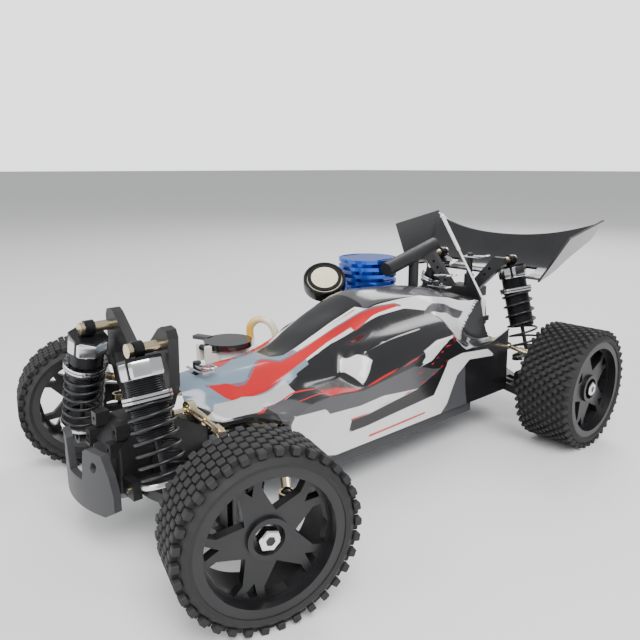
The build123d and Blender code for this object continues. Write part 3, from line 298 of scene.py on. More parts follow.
def make_finishes(settings):
    """All finishes by name."""
    made = {
        "black plastic": worn("black_plastic", (0.011, 0.011, 0.012), 0, 0.42),
        "grey plastic": worn("grey_plastic", (0.035, 0.035, 0.038), 0, 0.5),
        "rim plastic": worn("rim_plastic", (0.008, 0.008, 0.009), 0, 0.33),
        "gloss black": worn("gloss_black", (0.006, 0.006, 0.007), 0, 0.16, Coat_Weight=0.3),
        "rubber": worn("rubber", (0.012, 0.012, 0.012), 0, 0.72, grain=1500.0, depth=0.0001, fade=0.5),
        "bright steel": worn("bright_steel", (0.72, 0.72, 0.73), 1, 0.16, grain=2500.0, fade=0.1,
            strength=0.1),
        "satin steel": worn("satin_steel", (0.62, 0.62, 0.63), 1, 0.3, grain=1800.0, fade=0.15),
        "gilt steel": worn("gilt_steel", (0.72, 0.6, 0.4), 1, 0.24, grain=1800.0, fade=0.12),
        "spring steel": worn("spring_steel", (0.02, 0.02, 0.022), 0.3, 0.3, fade=0.2),
        "dark alloy": worn("dark_alloy", (0.014, 0.014, 0.016), 0.6, 0.3, fade=0.2),
        "plate alloy": worn("plate_alloy", (0.3, 0.31, 0.33), 1, 0.38, grain=1200.0),
        "cast alloy": worn("cast_alloy", (0.42, 0.42, 0.43), 1, 0.5, grain=600.0, depth=0.0002),
        "blue alloy": worn("blue_alloy", tuple(settings.head_color), 0.85, 0.22, grain=2500.0, fade=0.2,
            strength=0.1),
        "foam": worn("foam", (0.82, 0.74, 0.52), 0, 0.95, grain=700.0, depth=0.0006, fade=0.15, strength=0.9),
        "tank plastic": worn("tank_plastic", (0.8, 0.79, 0.75), 0, 0.35, fade=0.05, Subsurface_Weight=0.15),
        "white plastic": worn("white_plastic", (0.85, 0.85, 0.84), 0, 0.35, fade=0.05),
        "wing sheet": wing_finish(),
        "hose": hose_finish(),
        "shell paint": shell_finish(settings),
        "shell inside": worn("shell_inside", (0.02, 0.02, 0.021), 0, 0.3),
    }
    return made


def wing_finish():
    """Smoke-black sheet: darker on the blade, paler on the outer faces of the end plates, where the paler
    grey is painted light, a painted sheen for the light that they catch.
    """
    finish = Finish("wing_sheet", (0.006, 0.006, 0.007), 0, 0.14, Coat_Weight=0.4)
    parts = finish.node("ShaderNodeSeparateXYZ")
    finish.link(finish.place, parts.inputs["Vector"])
    side = finish.node("ShaderNodeMath", operation="ABSOLUTE")
    finish.link(parts.outputs["X"], side.inputs[0])
    # Painted light: from 70.5 mm out from the middle, the end plates get a painted sheen.
    endplate_painted_sheen = finish.spread(side.outputs["Value"], 0, 1, span=(0.0705, 0.088))
    clouds = finish.mix(finish.spread(finish.noise(30.0), 0, 1), (0.006, 0.006, 0.007), (0.014, 0.014, 0.016))
    # The paler grey mixed onto the end plates is a painted sheen, not the sheet's own tint.
    finish.link(finish.mix(endplate_painted_sheen, clouds, (0.05, 0.05, 0.053)), finish.shader.inputs["Base Color"])
    finish.bump(finish.noise(400.0), 0.08, 0.00005)
    return finish.material


def hose_finish():
    """Milky fuel line, amber where it leaves the tank."""
    finish = Finish("hose", (0.8, 0.74, 0.6), 0, 0.3, Subsurface_Weight=0.2, Coat_Weight=0.3)
    parts = finish.node("ShaderNodeSeparateXYZ")
    finish.link(finish.place, parts.inputs["Vector"])
    near = finish.spread(parts.outputs["X"], 1, 0, span=(-0.038, -0.03))
    milky = finish.mix(finish.spread(finish.noise(160.0), 0, 1), (0.82, 0.76, 0.62), (0.7, 0.62, 0.45))
    finish.link(finish.mix(near, milky, (0.75, 0.42, 0.05)), finish.shader.inputs["Base Color"])
    return finish.material


# ---- the painted shell ---------------------------------------------------------------------------

# Half sections (x, z) from the centre line over the roof to the lower edge, by their place along the car.
HALF_SECTIONS = {
    -141: [(0, 80), (9, 79), (12, 77), (13, 75), (14, 73), (14.5, 72), (15, 71), (15.5, 70), (16, 68)],
    -130: [(0, 82.5), (11, 81.5), (17, 77), (20, 73), (24, 69), (26, 66), (27.5, 63.5), (28.5, 61.5),
        (29, 59.5)],
    -112: [(0, 83.5), (12, 82.5), (22, 73), (25, 69), (29, 66), (32, 64.5), (35, 63.5), (37, 63), (38, 60.5)],
    -97.5: [(0, 84), (12, 83), (24, 73.5), (27, 69.5), (33, 66), (40, 65), (47, 64.5), (53, 61.5), (54,
        59.5)],
    -96: [(0, 84), (12, 83), (24, 73.5), (27, 69.5), (33, 66), (40, 65), (47, 64.5), (54, 62), (56, 31)],
    -69: [(0, 85), (11, 85), (23, 83), (28, 79), (33, 73), (40, 71), (47, 70.5), (54.5, 70), (56, 31)],
    -44: [(0, 96), (13.5, 95), (20.5, 90.5), (26.5, 84.5), (34, 73), (38, 72), (46, 70), (54.5, 68), (56,
        31)],
    -24: [(0, 104), (15, 103.5), (19.5, 96), (25, 90), (35, 90), (42, 87), (48, 81.5), (54.5, 69.5), (56,
        31)],
    8: [(0, 117), (17, 112.5), (22, 106.5), (28, 101), (35, 96), (43, 93), (50, 86), (55, 78.5), (56, 31)],
    50: [(0, 114.5), (18, 110.5), (23, 108), (29, 103.5), (36, 98.5), (44, 95), (50.5, 90), (55, 85),
        (56, 31)],
    66: [(0, 112.5), (18, 108), (24, 105), (31, 99), (38, 91), (45, 83), (51, 78), (55.5, 73.5), (56.5, 31)],
    90: [(0, 107.5), (17, 103.5), (24, 97), (30, 87), (37, 77), (44, 72), (50, 71.5), (55.5, 72), (57, 31)],
    108: [(0, 103.5), (20, 99), (27, 95), (32, 84), (38, 71), (45, 70), (51, 72), (56, 76), (57, 31)],
    120.5: [(0, 100), (22, 98.5), (29, 95.5), (33, 82), (38, 70), (45, 70.5), (51, 75), (56, 80), (57, 31)],
}
STATIONS = sorted(HALF_SECTIONS)
SECTION_POINTS = np.array([HALF_SECTIONS[place_y] for place_y in STATIONS], float)
SHELL_WALL = 1.4
SHELL_OPENINGS = (
    ((-47, -104, 55), (-17, -42, 130)),
    ((-70, -2, 86), (-12.3, 84, 140)),
    ((-51, 40, 66), (-20, 82, 90)),
    ((-12.5, 73, 86), (-1.5, 85, 130)),
)
POST_HOLES = ((0, -123.5), (0, 99.5))

WHITE = (0.8, 0.8, 0.79)
RED = (0.56, 0.01, 0.014)
SLATE = (0.2, 0.27, 0.34)
SILVER = (0.5, 0.5, 0.51)
BLACK = (0.01, 0.01, 0.011)
CHARCOAL = (0.075, 0.075, 0.08)
SMOKE = (0.03, 0.03, 0.033)
MAUVE = (0.2, 0.12, 0.16)

# The paint in the order that it goes on: colour, view of the shell, line width or 0 for a filled
# shape, points.
# In view "left", "right" and "both" a point is (y, place across the half section); in "flank" it is (y, z).
PAINT = (
    (WHITE, "both", 0, ((-78, 1.0), (-9, 1.0), (0, 1.7), (46, 1.4), (88, 1.15), (120, 1.3), (103, 2.7),
        (85, 3.9),
     (60, 6.2), (50, 3.6), (30, 2.75), (-9, 2.65), (-36, 2.5), (-78, 2.75))),
    (SLATE, "both", 0, ((-141, -1), (-141, 4.2), (-100, 4), (-60, 3), (-60, -1))),
    (MAUVE, "left", 3.2, ((-127, 1.5), (-103, 1.7), (-82, 0.6), (-74, 1.4), (-34, 1.6), (-9, 1.7), (24,
        2.0), (28, 2.3))),
    (RED, "left", 0, ((-127, 1.5), (-114, 1.4), (-109, 1.7), (-103, 1.7), (-82, 0.6), (-74, 1.4), (-34,
        1.6), (-9, 1.7),
     (6, 1.9), (24, 2.0), (28, 2.3), (0, 2.4), (-15, 2.9), (-17, 2.2), (-36, 2.2), (-78, 2.5), (-114, 2.9))),
    (MAUVE, "right", 2.4, ((-121, -0.3), (-107, 0), (-89, 0.8))),
    (RED, "right", 0, ((-124, 1.0), (-121, -0.3), (-107, 0), (-89, 0.8), (-60, 1.2), (-20, 1.8), (24,
        2.2), (-36, 2.5),
     (-78, 2.4), (-116, 1.6))),
    (SILVER, "both", 0, ((-134, 6.0), (-127, 3.4), (-109, 2.4), (-100, 2.9), (-79, 2.9), (-78, 4.5),
        (-100, 4.6),
     (-110, 5.6), (-127, 6.7))),
    (BLACK, "both", 0, ((-145, 3.5), (-138, 4.6), (-135, 6.4), (-127, 6.7), (-100, 6.2), (-96, 9), (-145,
        9))),
    (RED, "both", 2.2, ((-107, 5.7), (-100, 4.3), (-80, 4.4), (-69, 5.2))),
    (RED, "both", 1.8, ((-88, 5.4), (-79, 6.0), (-57, 6.8))),
    (BLACK, "both", 0, ((-75, -1), (-75, 0.7), (-68, 1.0), (-51, 0.9), (-9, 0.9), (-9, -1))),
    (CHARCOAL, "both", 0, ((-4, -1), (-4, 1.6), (14, 1.4), (46, 1.3), (88, 1.1), (92, -1))),
    (RED, "both", 1.6, ((-66, 1.15), (-48, 1.1), (-10, 1.15))),
    (BLACK, "both", 0, ((-72, 3.1), (-50, 2.8), (-25, 2.7), (5, 2.7), (8, 2.8), (12, 3.5), (4, 3.7),
        (-23, 3.8),
     (-39, 3.7), (-68, 3.7))),
    (BLACK, "both", 0, ((-34, 3.6), (-22, 3.85), (8, 4.0), (36, 4.2), (45, 5.1), (52, 5.8), (53, 6.6),
        (48, 6.4),
     (25, 6.2), (-1, 6.1), (-24, 6.0), (-34, 5.0))),
    (SILVER, "both", 1.4, ((-29, 5.1), (26, 5.2))),
    (WHITE, "both", 0, ((-40, 4.1), (-36, 3.5), (-30, 4.6), (-24, 6.0), (-29, 6.4), (-37, 6.8))),
    (SMOKE, "both", 0, ((130, 1.2), (120, 1.5), (103, 2.7), (85, 3.9), (63, 6.8), (88, 7.2), (130, 7.4))),
    (CHARCOAL, "both", 0, ((45, 3.6), (62, 2.5), (80, 2.0), (101, 2.4), (92, 2.9), (75, 3.0), (51, 3.8),
        (40, 4.2))),
    (WHITE, "both", 2.0, ((120, 1.5), (103, 2.7), (85, 3.9), (70, 5.4), (53, 6.7))),
    (CHARCOAL, "flank", 0, ((-100, 66), (-66, 69), (-38, 66), (10, 72), (30, 66), (66, 61), (71, 20),
        (-100, 20))),
    (WHITE, "flank", 0, ((-96, 58.9), (-93, 63.2), (-70, 62.2), (-67, 58.3), (-41, 56.9), (-20, 58.4),
        (14, 55.4),
     (38, 60), (47, 68.8), (62, 71.1), (94, 68.2), (103, 61.5), (71, 64.6), (57, 55.8), (46, 36.4), (38, 30),
     (-59, 30), (-96, 40))),
    (BLACK, "flank", 0, ((-49, 49.6), (-34, 49.7), (13, 55.3), (33, 62.5), (47, 68.8), (38, 56), (31,
        46.6), (3, 44.9),
     (-36, 42.2), (-52, 42.2))),
    (RED, "flank", 1.1, ((-50, 49.9), (-34, 50.4), (13, 56.1), (33, 63.2), (47, 69.4))),
    (BLACK, "flank", 0, ((66, 60.8), (67, 43.7), (71, 20), (130, 20), (130, 56), (103, 60.5), (71, 63.6))),
    (RED, "flank", 2.0, ((-34, 35.2), (2, 36.0), (22, 36.6))),
    (RED, "flank", 1.3, ((-67, 70), (-55, 69.4), (-38, 67), (-16, 71.6), (12, 77), (20, 80.6), (39,
        84.2), (53, 85.6),
     (57, 81.6), (44, 79.4), (26, 68), (15, 66))),
    (WHITE, "flank", 0, ((19, 80.8), (34, 85.3), (53, 86), (40, 80), (28, 72.3), (15, 70.2), (22, 77))),
    (SILVER, "flank", 1.3, ((55, 82.5), (67, 73.4), (101, 74), (120, 79.8))),
)


def section(place_y):
    """The half section at one place along the car, by a monotone cubic between the stations."""
    xs, values = np.array(STATIONS), SECTION_POINTS
    steps = np.diff(values, axis=0) / np.diff(xs)[:, None, None]
    slopes = np.zeros_like(values)
    slopes[0], slopes[-1] = steps[0], steps[-1]
    both = steps[:-1] * steps[1:]
    total = steps[:-1] + steps[1:]
    slopes[1:-1] = np.where(both > 0, 2 * both / np.where(np.abs(total) < 1e-9, 1, total), 0)
    at = int(min(max(np.searchsorted(xs, place_y, side="right") - 1, 0), len(xs) - 2))
    span = xs[at + 1] - xs[at]
    t = (place_y - xs[at]) / span
    return (
        (2 * t**3 - 3 * t**2 + 1) * values[at]
        + (t**3 - 2 * t**2 + t) * span * slopes[at]
        + (3 * t**2 - 2 * t**3) * values[at + 1]
        + (t**3 - t**2) * span * slopes[at + 1]
    )


def half_ring(points, per_segment):
    """A smooth half section and the place of each of its points across it."""
    full = np.vstack([[-points[1][0], points[1][1]], points])
    ring, places = [], []
    for j in range(8):
        p0, p1, p2 = full[j], full[j + 1], full[j + 2]
        p3 = full[j + 3] if j < 5 else p2 + (p2 - p1)
        parts = per_segment * (4 if j > 5 else 1)
        for k in range(parts):
            t = k / parts
            bend = 2 * p0 - 5 * p1 + 4 * p2 - p3
            twist = 3 * p1 - p0 - 3 * p2 + p3
            curve = (2 * p1 + (p2 - p0) * t + bend * t * t + twist * t**3) / 2
            ring.append(curve if j < 6 else p1 + (p2 - p1) * t)
            places.append(j + t)
    ring.append(full[9])
    places.append(8.0)
    return np.array(ring), np.array(places)


def reach_to(points, outline, width):
    """Distance inside a filled outline, or inside a line of that width; negative outside."""
    corners = np.array(outline, float)
    ends = np.roll(corners, -1, axis=0)
    if width:
        corners, ends = corners[:-1], ends[:-1]
    nearest = np.full(len(points), 1e9)
    inside = np.zeros(len(points), bool)
    for a, b in zip(corners, ends):
        along = b - a
        share = np.clip(((points - a) @ along) / max(along @ along, 1e-9), 0, 1)
        nearest = np.minimum(nearest, np.linalg.norm(points - a - share[:, None] * along, axis=1))
        if a[1] != b[1]:
            crosses = ((a[1] > points[:, 1]) != (b[1] > points[:, 1])) & (
                points[:, 0] < (b[0] - a[0]) * (points[:, 1] - a[1]) / (b[1] - a[1]) + a[0]
            )
            inside ^= crosses
    return width / 2 - nearest if width else np.where(inside, nearest, -nearest)


ACROSS = 12.0  # millimetres that one step across the half section stands for


def paint_masks(piece):
    """Writes a distance field for each coat of paint, and one for the sheet's outside, on the vertices."""
    count = len(piece.data.vertices)
    spots = np.empty(count * 3)
    piece.data.vertices.foreach_get("co", spots)
    spots = spots.reshape(-1, 3) / MM
    across = np.empty(count)
    depth = np.empty(count)
    for index, (x, y, z) in enumerate(spots):
        ring, places = RINGS[int(round(min(max(y, STATIONS[0]), STATIONS[-1]) * 2))]
        gap = np.hypot(ring[:, 0] - abs(x), ring[:, 1] - z)
        near = int(gap.argmin())
        across[index] = places[near]
        depth[index] = gap[near]
    side = np.sign(spots[:, 0])
    flat = np.column_stack([spots[:, 1], across * ACROSS])
    for number, (_, view, width, outline) in enumerate(PAINT):
        if view == "flank":
            field = reach_to(spots[:, 1:], outline, width)
            field = np.minimum(field, (across - FLANK_START) * ACROSS)
        else:
            stretched = [(y, u * ACROSS) for y, u in outline]
            if view in ("left", "right"):
                turn = side if view == "left" else -side
                flat_side = np.column_stack([flat[:, 0], flat[:, 1] * turn])
                field = reach_to(flat_side, stretched, width)
            else:
                field = reach_to(flat, stretched, width)
        layer = piece.data.attributes.new(f"paint_{number}", "FLOAT", "POINT")
        layer.data.foreach_set("value", field.astype(np.float32))
    layer = piece.data.attributes.new("outside", "FLOAT", "POINT")
    layer.data.foreach_set("value", (0.75 - depth).astype(np.float32))


RINGS = {step: half_ring(section(step / 2), MASK_COLUMNS) for step in range(int(STATIONS[0] * 2),
    int(STATIONS[-1] * 2) + 1)}


def shell_finish(settings):
    """Gloss paint under a clear coat, coat over coat by the distance fields, dark on the inside."""
    finish = Finish("shell_paint", BLACK, 0, 0.2, Coat_Weight=0.25, Coat_Roughness=0.06)
    color = BLACK
    for number, (tint, *_) in enumerate(PAINT):
        field = finish.node("ShaderNodeAttribute", attribute_name=f"paint_{number}")
        edge = finish.spread(field.outputs["Fac"], 0, 1, span=(-PAINT_EDGE, PAINT_EDGE))
        shown = tuple(settings.flash_color) if tint == RED else tint
        color = finish.mix(edge, color, shown)
    clouds = finish.spread(finish.noise(38.0), 0, 0.12)
    color = finish.mix(clouds, color, (0.03, 0.03, 0.035))
    sheet = finish.node("ShaderNodeAttribute", attribute_name="outside")
    color = finish.mix(finish.spread(sheet.outputs["Fac"], 0, 1, span=(-0.1, 0.1)), (0.02, 0.02, 0.021),
        color)
    finish.link(color, finish.shader.inputs["Base Color"])
    finish.bump(finish.noise(70.0), 0.12, 0.0006)
    return finish.material


def build_shell(finishes):
    """The painted sheet shell with its cut-outs."""
    rows = []
    places_y = sorted(set([*np.arange(-141, 120.6, SHELL_STEP), *STATIONS]))
    places_y = [y for i, y in enumerate(places_y) if i == 0 or y - places_y[i - 1] > 0.4]
    for y in places_y:
        ring, _ = half_ring(section(y), SHELL_COLUMNS)
        left = [(x, y, z) for x, z in ring]
        right = [(-x, y, z) for x, z in ring[:0:-1]]
        rows.append(right + left)
    width = len(rows[0])
    points = [(x * MM, y * MM, z * MM) for row in rows for x, y, z in row]
    faces = [
        (r * width + c, r * width + c + 1, (r + 1) * width + c + 1, (r + 1) * width + c)
        for r in range(len(rows) - 1)
        for c in range(width - 1)
    ]
    shell = new_mesh("painted_shell", points, faces=faces)
    up = sum(face.normal.z for face in shell.data.polygons)
    if up < 0:
        edit(shell)
        bpy.ops.mesh.flip_normals()
        close_edit()
    for low, high in SHELL_OPENINGS:
        open_up(shell, low, high)
    for x, y in POST_HOLES:
        low = (x - POST_HOLE_HALF, y - POST_HOLE_HALF, 50)
        high = (x + POST_HOLE_HALF, y + POST_HOLE_HALF, 140)
        open_up(shell, low, high)
    apply_modifier(shell, "SOLIDIFY", thickness=SHELL_WALL * MM, offset=-1.0, use_even_offset=False)
    paint_masks(shell)
    fit_out(shell, "chassis", finishes["shell paint"], ("body_shell",), 40)


def open_up(piece, low, high):
    """Takes out of a sheet what lies in a box between two corners in millimetres, along clean edges."""
    sheet = bmesh.new()
    sheet.from_mesh(piece.data)
    for axis in range(3):
        normal = Vector([float(axis == other) for other in range(3)])
        for value in (low[axis], high[axis]):
            parts = sheet.verts[:] + sheet.edges[:] + sheet.faces[:]
            bmesh.ops.bisect_plane(sheet, geom=parts, dist=1e-6, plane_co=normal * value * MM,
                plane_no=normal)
    inside = []
    for face in sheet.faces:
        middle = face.calc_center_median() / MM
        if all(low[axis] < middle[axis] < high[axis] for axis in range(3)):
            inside.append(face)
    bmesh.ops.delete(sheet, geom=inside, context="FACES")
    sheet.to_mesh(piece.data)
    sheet.free()


# ---- wheels ----------------------------------------------------------------------------------------


def wheel_place(end, side_name, side):
    """Where a wheel stands, with +Z turned to its outer face."""
    joint = JOINTS[f"{end}_{side_name}_wheel_spin"]
    outward = Vector(joint["axis"])
    if outward.x * side < 0:
        outward.negate()
    centre = Vector(joint["pos_m"])
    return towards(centre, centre + outward)


TYRE_RADIUS = 44.0
TYRE_WIDTHS = {"front": 33.0, "rear": 43.0}


def build_tyre(name, end, settings):
    """A carcass with rounded shoulders and rows of lugs: square blocks in front, round pins behind."""
    half = TYRE_WIDTHS[end] / 2
    crown = TYRE_RADIUS - settings.lug_height / MM
    carcass = turned(name, [
        (33.4, -half + 4.3), (35.3, -half + 2.6), (35.5, -half + 1.0), (37.4, -half + 0.2), (crown - 3.4,
            -half + 0.5),
        (crown - 1.2, -half + 1.9), (crown, -half + 4.5), (crown, half - 4.5), (crown - 1.2, half - 1.9),
        (crown - 3.4, half - 0.5), (37.4, half - 0.2), (35.5, half - 1.0), (35.3, half - 2.6), (33.4,
            half - 4.3),
        (33.4, -half + 4.3)], 72)
    around = 34 if end == "front" else 40
    across = 5 if end == "front" else 6
    pitch = (2 * half - 6.5) / (across - 1)
    lugs = []
    for row in range(2):
        number = across - row
        deselect()
        middle = (crown + TYRE_RADIUS) / 2 - 0.5
        if end == "front":
            bpy.ops.mesh.primitive_cube_add(size=1)
            lug = bpy.context.object
            lug.scale = ((TYRE_RADIUS - crown + 0.5) * MM, 3.7 * MM, 4.3 * MM)
        else:
            bpy.ops.mesh.primitive_cone_add(vertices=10, radius1=2.0 * MM, radius2=1.4 * MM,
                                            depth=(TYRE_RADIUS - crown + 0.5) * MM, rotation=(0, pi / 2, 0))
            lug = bpy.context.object
        bpy.ops.object.transform_apply(location=False, rotation=True, scale=True)
        if end == "front":
            edit(lug)
            bpy.ops.mesh.bevel(offset=0.45 * MM, segments=1, affect="EDGES")
            close_edit()
        apply_modifier(lug, "ARRAY", count=number, use_relative_offset=False, use_constant_offset=True,
                       constant_offset_displace=(0, 0, pitch * MM))
        start = Matrix.Translation(((middle + 0.2) * MM, 0, -(number - 1) * pitch / 2 * MM))
        place(lug, Matrix.Rotation(2 * pi * row / (2 * around), 4, "Z") @ start)
        edit(lug)
        bpy.ops.mesh.spin(steps=around - 1, angle=2 * pi * (around - 1) / around, dupli=True,
                          center=(0, 0, 0), axis=(0, 0, 1))
        bpy.ops.mesh.select_all(action="SELECT")
        bpy.ops.mesh.normals_make_consistent(inside=False)
        close_edit()
        lugs.append(lug)
    return join([carcass, *lugs], name)


def build_wheels(finishes, settings):
    """Four tyres and the bright nuts in the middle of the rims."""
    for end in ENDS:
        for side_name, side in SIDES:
            spot = wheel_place(end, side_name, side)
            tyre = build_tyre(f"{end}_{side_name}_lugged_tyre", end, settings)
            place(tyre, spot)
            fit_out(tyre, f"{end}_{side_name}_wheel", finishes["rubber"],
                (f"{end}_{side_name}_tyre",), 30)
            face = TYRE_WIDTHS[end] / 2 - RIM_INSET - SPOKE_RECESS
            nut = turned(f"{end}_{side_name}_wheel_nut", [(0, face - 2.9), (6.4, face - 2.9), (6.6,
                face - 1.8), (5.6, face - 1.2),
                          (5.4, face + 3.0), (4.6, face + 3.5), (2.4, face + 3.5), (2.2, face + 2.0), (0,
                              face + 2.0)], 6)
            place(nut, spot)
            fit_out(nut, f"{end}_{side_name}_wheel", finishes["bright steel"])


# ---- dampers ------------------------------------------------------------------------------------------


def build_dampers(finishes, settings):
    """Bright caps and collars, threaded tubes, springs and their lower cups."""
    for end in ENDS:
        for side_name, side in SIDES:
            swing = JOINTS[f"{end}_{side_name}_shock_swing"]
            travel = JOINTS[f"{end}_{side_name}_shock_travel"]
            top = Vector(swing["pos_m"])
            along = Vector(travel["axis"]).normalized()
            if along.z > 0:
                along.negate()
            length = DAMPER_LENGTHS[end]
            spot = towards(top, top + along)
            body = f"{end}_{side_name}_shock_body"
            tail = f"{end}_{side_name}_damper"
            node = frame["nodes"][f"{end}_shock_body_{side_name}"]
            tube_end = max((vertex.co - top).dot(along) for vertex in node.data.vertices) / MM
            cap = turned(f"{tail}_cap", [(0, 4.9), (8.6, 4.9), (11.1, 6.2), (11.3, 7.2), (11.3, 13.6),
                (10.9, 14.5), (9.3, CAP_HIGH),
                         (0, CAP_HIGH)], 8)
            place(cap, spot)
            fit_out(cap, body, finishes["bright steel"])
            ridges = [(9.25, CAP_HIGH)]
            height = 15.0
            while height < tube_end - 1.4:
                ridges += [(9.7, height + 0.3), (9.7, height + 0.55), (9.28, height + 0.85)]
                height += 1.1
            thread = turned(f"{tail}_thread", [(8.9, CAP_HIGH), *ridges, (9.25, tube_end + 0.1), (2.4,
                tube_end + 0.1)], 32)
            place(thread, spot)
            fit_out(thread, body, finishes["dark alloy"], (), 25)
            collar = turned(f"{tail}_collar", [(9.3, COLLAR_LOW), (12.2, COLLAR_LOW), (12.6, 22.9),
                (12.6, 24.2), (12.1, 24.4), (12.1, 24.7),
                            (12.6, 24.9), (12.6, 26.0), (12.2, COLLAR_HIGH), (9.3, COLLAR_HIGH), (9.3,
                                COLLAR_LOW)], 40)
            place(collar, spot)
            fit_out(collar, body, finishes["bright steel"])
            reach = length - CUP_RISE - COLLAR_HIGH
            spring = coil(f"{tail}_spring", SPRING_RADIUS, settings.spring_wire / MM / 2, reach,
                settings.spring_turns)
            place(spring, spot @ Matrix.Translation((0, 0, COLLAR_HIGH * MM)))
            fit_out(spring, body, finishes["spring steel"], (), 60)
            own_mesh(spring)
            cup = turned(f"{tail}_band", [(12.2, length - CUP_RISE + 0.4), (12.5, length - CUP_RISE + 0.8),
                         (12.5, length - CUP_RISE + 2.4), (12.2, length - CUP_RISE + 2.8), (11.2,
                             length - CUP_RISE + 2.8),
                         (11.2, length - CUP_RISE + 0.4), (12.2, length - CUP_RISE + 0.4)], 40)
            place(cup, spot)
            fit_out(cup, f"{end}_{side_name}_shock_shaft", finishes["bright steel"])


# ---- engine bay and fittings -----------------------------------------------------------------------------


def curve_tube(name, points, radius, bends=6):
    """A smooth tube along points in millimetres, as a curve."""
    curve = bpy.data.curves.new(name, "CURVE")
    curve.dimensions = "3D"
    curve.bevel_depth = radius * MM
    curve.bevel_resolution = 3
    curve.resolution_u = bends
    curve.use_fill_caps = True
    line = curve.splines.new("BEZIER")
    line.bezier_points.add(len(points) - 1)
    for knot, point in zip(line.bezier_points, points):
        knot.co = [value * MM for value in point]
        knot.handle_left_type = knot.handle_right_type = "AUTO"
    piece = bpy.data.objects.new(name, curve)
    bpy.context.scene.collection.objects.link(piece)
    return piece


def build_fittings(finishes, settings):
    """Body clips, the foam and rim of the air filter, and the fuel line."""
    for number, (x, y, z) in enumerate(CLIP_SPOTS):
        arch = [(x, y, z), (x + 7, y + 3.2, z + 0.6), (x + 15, y + 3.4, z + 1.6), (x + 19, y, z + 2.4),
            (x + 15, y - 3.4, z + 1.6),
                (x + 7, y - 3.2, z + 0.6), (x - 1, y - 0.8, z)]
        clip = curve_tube(f"clip_{number}", arch, 0.8, 10)
        fit_out(clip, "chassis", finishes["bright steel"])
    foam = turned("filter_foam", [(0, 2.3), (9.5, 2.2), (12.4, 1.5), (13.6, 0.2), (13.6, -6.0), (0,
        -6.0)], 48)
    edit(foam)
    bpy.ops.mesh.subdivide(number_cuts=1)
    close_edit()
    place(foam, towards(Vector(FILTER_CENTRE) * MM, (Vector(FILTER_CENTRE) + Vector(FILTER_FACE)) * MM))
    fit_out(foam, "chassis", finishes["foam"])
    rim = turned("filter_rim", [(13.4, 0.4), (14.2, 1.6), (15.6, 1.6), (16.3, 0.6), (16.4, -7.6), (14.0,
        -8.4), (13.4, 0.4)], 56)
    place(rim, towards(Vector(FILTER_CENTRE) * MM, (Vector(FILTER_CENTRE) + Vector(FILTER_FACE)) * MM))
    fit_out(rim, "chassis", finishes["gloss black"])
    hose = curve_tube("fuel_line", HOSE_ROUTE, HOSE_RADIUS, 16)
    fit_out(hose, "chassis", finishes["hose"], ("fuel_hose",), 60)


# CAD nodes that keep their own surfaces: the finish by the start of their names.
CAD_FINISHES = (
    ("chassis_plate", "plate alloy"), ("side_guards", "grey plastic"), ("front_bumper", "grey plastic"),
    ("front_gearbox", "black plastic"), ("rear_gearbox", "black plastic"), ("front_shock_tower",
        "black plastic"),
    ("rear_shock_tower", "black plastic"), ("suspension_pins", "gilt steel"), ("steering_servo",
        "black plastic"),
    ("body_posts", "black plastic"), ("body_clips", "bright steel"), ("antenna", "white plastic"),
    ("radio_box", "black plastic"), ("fuel_tank_lid", "gloss black"), ("fuel_tank", "tank plastic"),
    ("engine_block", "cast alloy"), ("cooling_head", "blue alloy"), ("air_filter", "gloss black"),
    ("exhaust", "cast alloy"), ("fuel_hose", "hose"), ("carry_handle", "black plastic"), ("wing_mount",
        "black plastic"),
    ("rear_wing", "wing sheet"), ("body_shell", "shell inside"), ("drive_shaft", "satin steel"),
    ("servo_horn", "black plastic"), ("steering_crank", "black plastic"), ("drag_link", "gilt steel"),
    ("front_lower_arm", "black plastic"), ("rear_lower_arm", "black plastic"), ("front_hub_carrier",
        "black plastic"),
    ("rear_hub_carrier", "black plastic"), ("front_upper_link", "gilt steel"), ("rear_upper_link",
        "gilt steel"),
    ("front_shock_body", "dark alloy"), ("rear_shock_body", "dark alloy"), ("front_shock_shaft",
        "black plastic"),
    ("rear_shock_shaft", "black plastic"), ("steering_knuckle", "black plastic"), ("tie_rod", "gilt steel"),
    ("front_left", "rim plastic"), ("front_right", "rim plastic"), ("rear_left",
        "rim plastic"), ("rear_right", "rim plastic"),
)


def finish_nodes(finishes):
    """Procedural finishes on every CAD node."""
    for name, node in frame["nodes"].items():
        for start, finish in CAD_FINISHES:
            if name.startswith(start):
                node.data.materials.clear()
                node.data.materials.append(finishes[finish])
                break
        else:
            raise ValueError(f"no finish for {name}")


# ---- studio ------------------------------------------------------------------------------------------------


